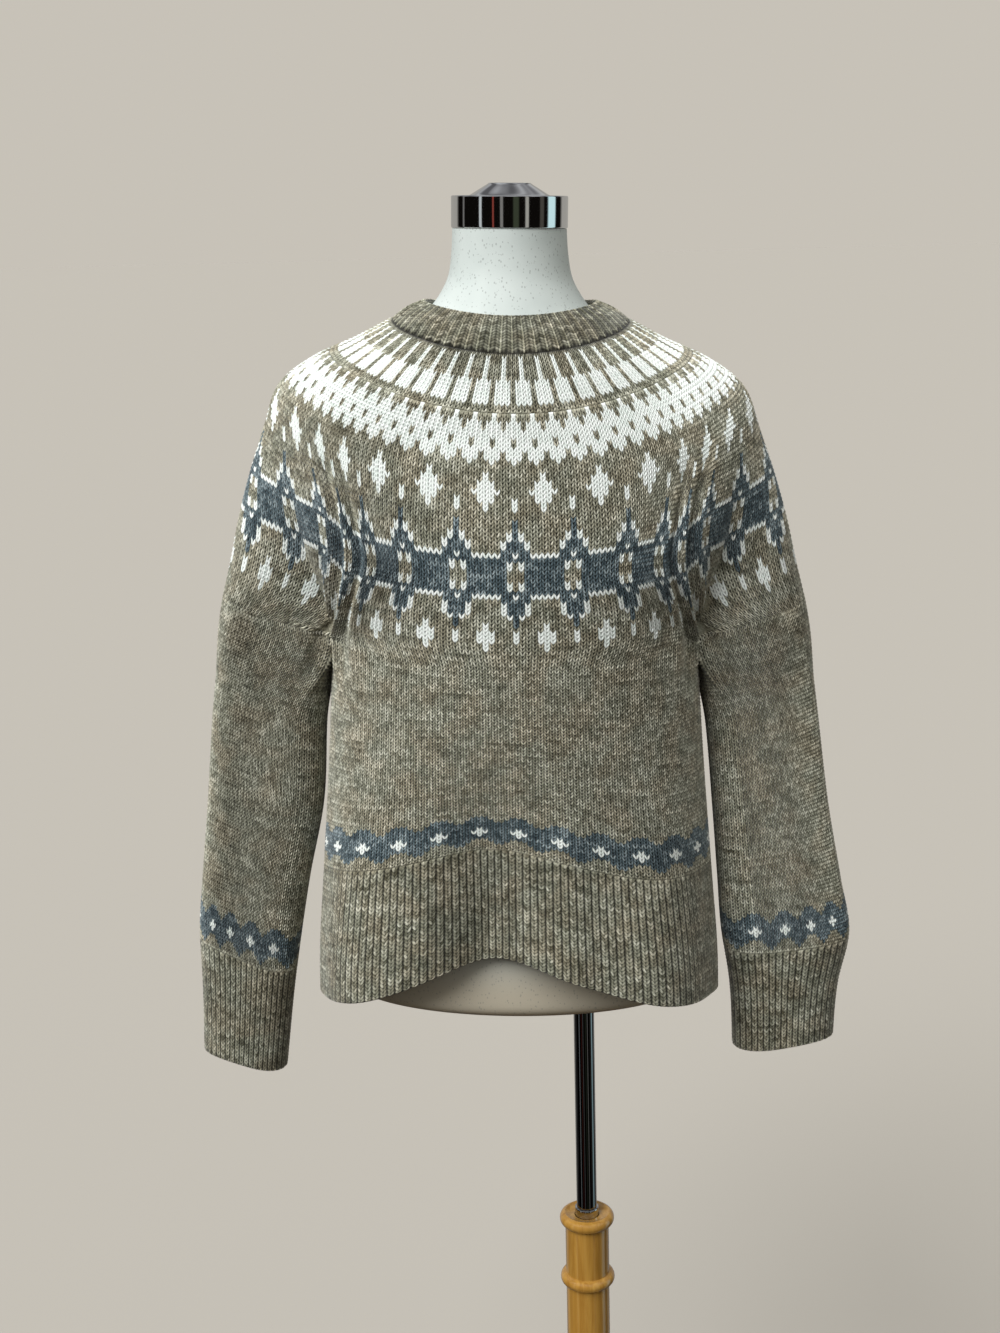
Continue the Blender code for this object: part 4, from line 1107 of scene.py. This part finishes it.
def make_stand():
    """The pole in its ferrule, the column with its two turned rings, and the flat round base."""
    top = COLLAR_Z + BEAD_HALF
    pole_top = DATUM - FORM_TORSO["drop_side"][-1] + POLE_IN_FORM
    turned("pole_chrome", [(POLE_RADIUS, top - POLE_IN_COLUMN), (POLE_RADIUS, pole_top)],
           chrome("dark_chrome", 132), "pole")
    ring_top = top + FERRULE_RISE
    ring = arc((FERRULE_RADIUS - METAL_EDGE, ring_top - METAL_EDGE), (METAL_EDGE, METAL_EDGE), 0, 90, 6)
    turned("ferrule_ring", [(FERRULE_RADIUS, top - FERRULE_IN_COLUMN), *ring, (POLE_RADIUS, ring_top)],
           chrome("ferrule_chrome", 190), "ferrule")
    bead = (BEAD_RADIUS - COLUMN_RADIUS, BEAD_HALF)
    shaft_z = np.linspace(FOOT_TOP + FOOT_EDGE, RING_Z - BEAD_HALF, 20)
    column = [
        (POINT, BASE_HEIGHT), (FOOT_RADIUS, BASE_HEIGHT), (FOOT_RADIUS, FOOT_TOP - FOOT_EDGE),
        *arc((FOOT_RADIUS - FOOT_EDGE, FOOT_TOP - FOOT_EDGE), (FOOT_EDGE, FOOT_EDGE), 10, 80, 6),
        *zip(*read(SHAFT, shaft_z), shaft_z),
        *arc((COLUMN_RADIUS, RING_Z), bead, -88, 88, 13),
        *arc((COLUMN_RADIUS, COLLAR_Z), bead, -88, 88, 13),
        *zip(COLUMN_MOUTH["radius"], top - COLUMN_MOUTH["drop"])]
    turned("column_wood", column, varnished_wood("varnished_wood_upright", 2),
           "stand_column")
    base = [
        (POINT, 0), *arc((BASE_RADIUS - FOOT_EDGE, FOOT_EDGE), (FOOT_EDGE, FOOT_EDGE), -90, 0, 6),
        *arc((BASE_RADIUS - BASE_EDGE[0], BASE_HEIGHT - BASE_EDGE[1]), BASE_EDGE, 0, 90, 10),
        (BASE_MIDDLE, BASE_HEIGHT), (POINT, BASE_HEIGHT)]
    turned("base_wood", base, varnished_wood("varnished_wood_laid", 0), "stand_base")


# The studio

SKY = srgb(228, 226, 220)
SKY_LOW, SKY_HIGH = 0.34, 0.98    # its strength at the horizon and overhead
# The direction each comes from, its strength and its width in degrees
SUNS = (
    ((-1.25, -1.25, 1.70), 3.65, 40),
    ((0.90, -1.00, 0.90), 0.25, 60),
)
FLOOR_ALBEDO = srgb(169, 165, 158)
FLOOR_BOUNCE = (0.10, 0.088, 0.072)    # the share of the floor's light that reaches the object
FLOOR_REACH = 60.0
# The room that chrome mirrors: where each upright panel's middle is and half its width, both in degrees
# counted from the front, and its colour
ROOM_DARK, ROOM_WALL = srgb(14, 12, 10), srgb(168, 165, 158)
ROOM_WALL_FADES = (-128, -120, 118, 126)    # the wall behind turns dark between two, and back
ROOM_PANELS = (
    (-103, 2, srgb(120, 118, 115)),
    (-60, 2.5, srgb(200, 205, 205)),
    (-33, 1.5, srgb(150, 70, 60)),
    (-16, 2.5, srgb(130, 128, 124)),
    (12, 5, srgb(60, 66, 52)),
    (34, 3, srgb(170, 168, 160)),
    (66, 4, srgb(75, 72, 66)),
    (91, 9, srgb(215, 248, 250)),
)


def make_floor():
    """A pale matt floor, which lights the object from below less than it is bright itself."""
    mesh = bpy.data.meshes.new("studio_floor")
    corners = [(x * FLOOR_REACH, y * FLOOR_REACH, 0) for x, y in ((-1, -1), (1, -1), (1, 1), (-1, 1))]
    mesh.from_pydata(corners, [], [(0, 1, 2, 3)])
    floor = bpy.data.objects.new("studio_floor", mesh)
    n = Nodes(bpy.data.materials.new("pale_floor"))
    path = n.add("ShaderNodeLightPath")
    dim = (*(share * v for share, v in zip(FLOOR_BOUNCE, FLOOR_ALBEDO)), 1.0)
    mesh.materials.append(n.finish(
        Base_Color=n.mix(path.outputs["Is Diffuse Ray"], FLOOR_ALBEDO, dim), Roughness=1.0,
        Specular_IOR_Level=0.0))
    floor.visible_glossy = False
    bpy.context.scene.collection.objects.link(floor)


def floor_colour():
    """The colour of the floor in this light, for the backdrop above its horizon."""
    light = (SKY_LOW + (SKY_HIGH - SKY_LOW) * 2 / 3) * np.array(SKY[:3])
    for direction, strength, _ in SUNS:
        light = light + strength * direction[2] / np.linalg.norm(direction) / math.pi
    return (*(float(v) for v in light * np.array(FLOOR_ALBEDO[:3])), 1.0)


def make_room(n, turn):
    """The colour of the room round about: the wall behind, then dark with bright upright panels."""
    def at(degrees):
        return (degrees + 180) / 360

    wall_to, dark_from, dark_to, wall_from = (at(degrees) for degrees in ROOM_WALL_FADES)
    stops = [(0.0, ROOM_WALL), (wall_to, ROOM_WALL), (dark_from, ROOM_DARK)]
    for centre, half, colour in ROOM_PANELS:
        for step, tone in ((-1.3, ROOM_DARK), (-0.9, colour), (0.9, colour), (1.3, ROOM_DARK)):
            stops.append((at(centre + half * step), tone))
    stops += [(dark_to, ROOM_DARK), (wall_from, ROOM_WALL)]
    return n.strip(turn, stops)


def make_world():
    """Pale light all round, stronger from above. The camera sees the floor's colour go on, and glossy
    surfaces see the room under a pale ceiling, which is darker below."""
    world = bpy.data.worlds.new("studio")
    bpy.context.scene.world = world
    n = Nodes(world)
    path = n.add("ShaderNodeLightPath").outputs
    place = n.add("ShaderNodeTexCoord").outputs["Generated"]
    axes = n.add("ShaderNodeSeparateXYZ", Vector=place).outputs
    turn = n.math("ARCTAN2", axes["X"], n.math("MULTIPLY", axes["Y"], -1.0))
    room = make_room(n, n.math("MULTIPLY_ADD", turn, 0.5 / math.pi, 0.5))
    ceiling = n.ramp(
        n.noise(2.6, 1.0, vector=place), (0.40, srgb(96, 96, 98)), (0.50, srgb(150, 150, 152)),
        (0.60, srgb(205, 207, 208)))
    seen = n.mix(n.spread(axes["Z"], 0.25, 0.55), room, ceiling)
    seen = n.mix(1.0, seen, n.spread(axes["Z"], -0.62, -0.36, 0.35, 1.0), "MULTIPLY")
    sky = n.mix(1.0, SKY, n.spread(axes["Z"], 0.0, 1.0, SKY_LOW, SKY_HIGH), "MULTIPLY")
    colour = n.mix(path["Is Glossy Ray"], sky, seen)
    colour = n.mix(path["Is Camera Ray"], colour, floor_colour())
    n.set(n.tree.nodes["Background"], "Color", colour)


def make_suns():
    """Two wide soft lamps: the light from the left, and a weak one that fills the right."""
    for number, (direction, strength, angle) in enumerate(SUNS):
        light = bpy.data.lights.new("sun_" + str(number), "SUN")
        light.energy = strength
        light.angle = math.radians(angle)
        lamp = bpy.data.objects.new(light.name, light)
        lamp.location = direction
        lamp.rotation_euler = mathutils.Vector(direction).to_track_quat("Z", "Y").to_euler()
        lamp.visible_glossy = False
        bpy.context.scene.collection.objects.link(lamp)


def make_camera():
    """The photograph's view: level with DATUM, looking down and turned a little."""
    camera = bpy.data.cameras.new("photo_camera")
    camera.lens = CAMERA_LENS
    camera.sensor_width = 36.0
    camera.sensor_fit = "AUTO"
    eye = bpy.data.objects.new("photo_camera", camera)
    pitched = mathutils.Matrix.Rotation(math.pi / 2 - CAMERA_PITCH, 4, "X")
    rolled = mathutils.Matrix.Rotation(-CAMERA_ROLL, 4, "Z")
    eye.matrix_world = mathutils.Matrix.Translation(CAMERA_AT) @ pitched @ rolled
    bpy.context.scene.collection.objects.link(eye)
    bpy.context.scene.camera = eye


make_camera()
make_yoke()
make_body()
make_neckband()
for number, side in enumerate(("left", "right")):
    make_sleeve(side, 21 + 2 * number)
make_form()
make_cap()
make_stand()
make_floor()
make_world()
make_suns()
bpy.context.scene.view_settings.view_transform = "Standard"
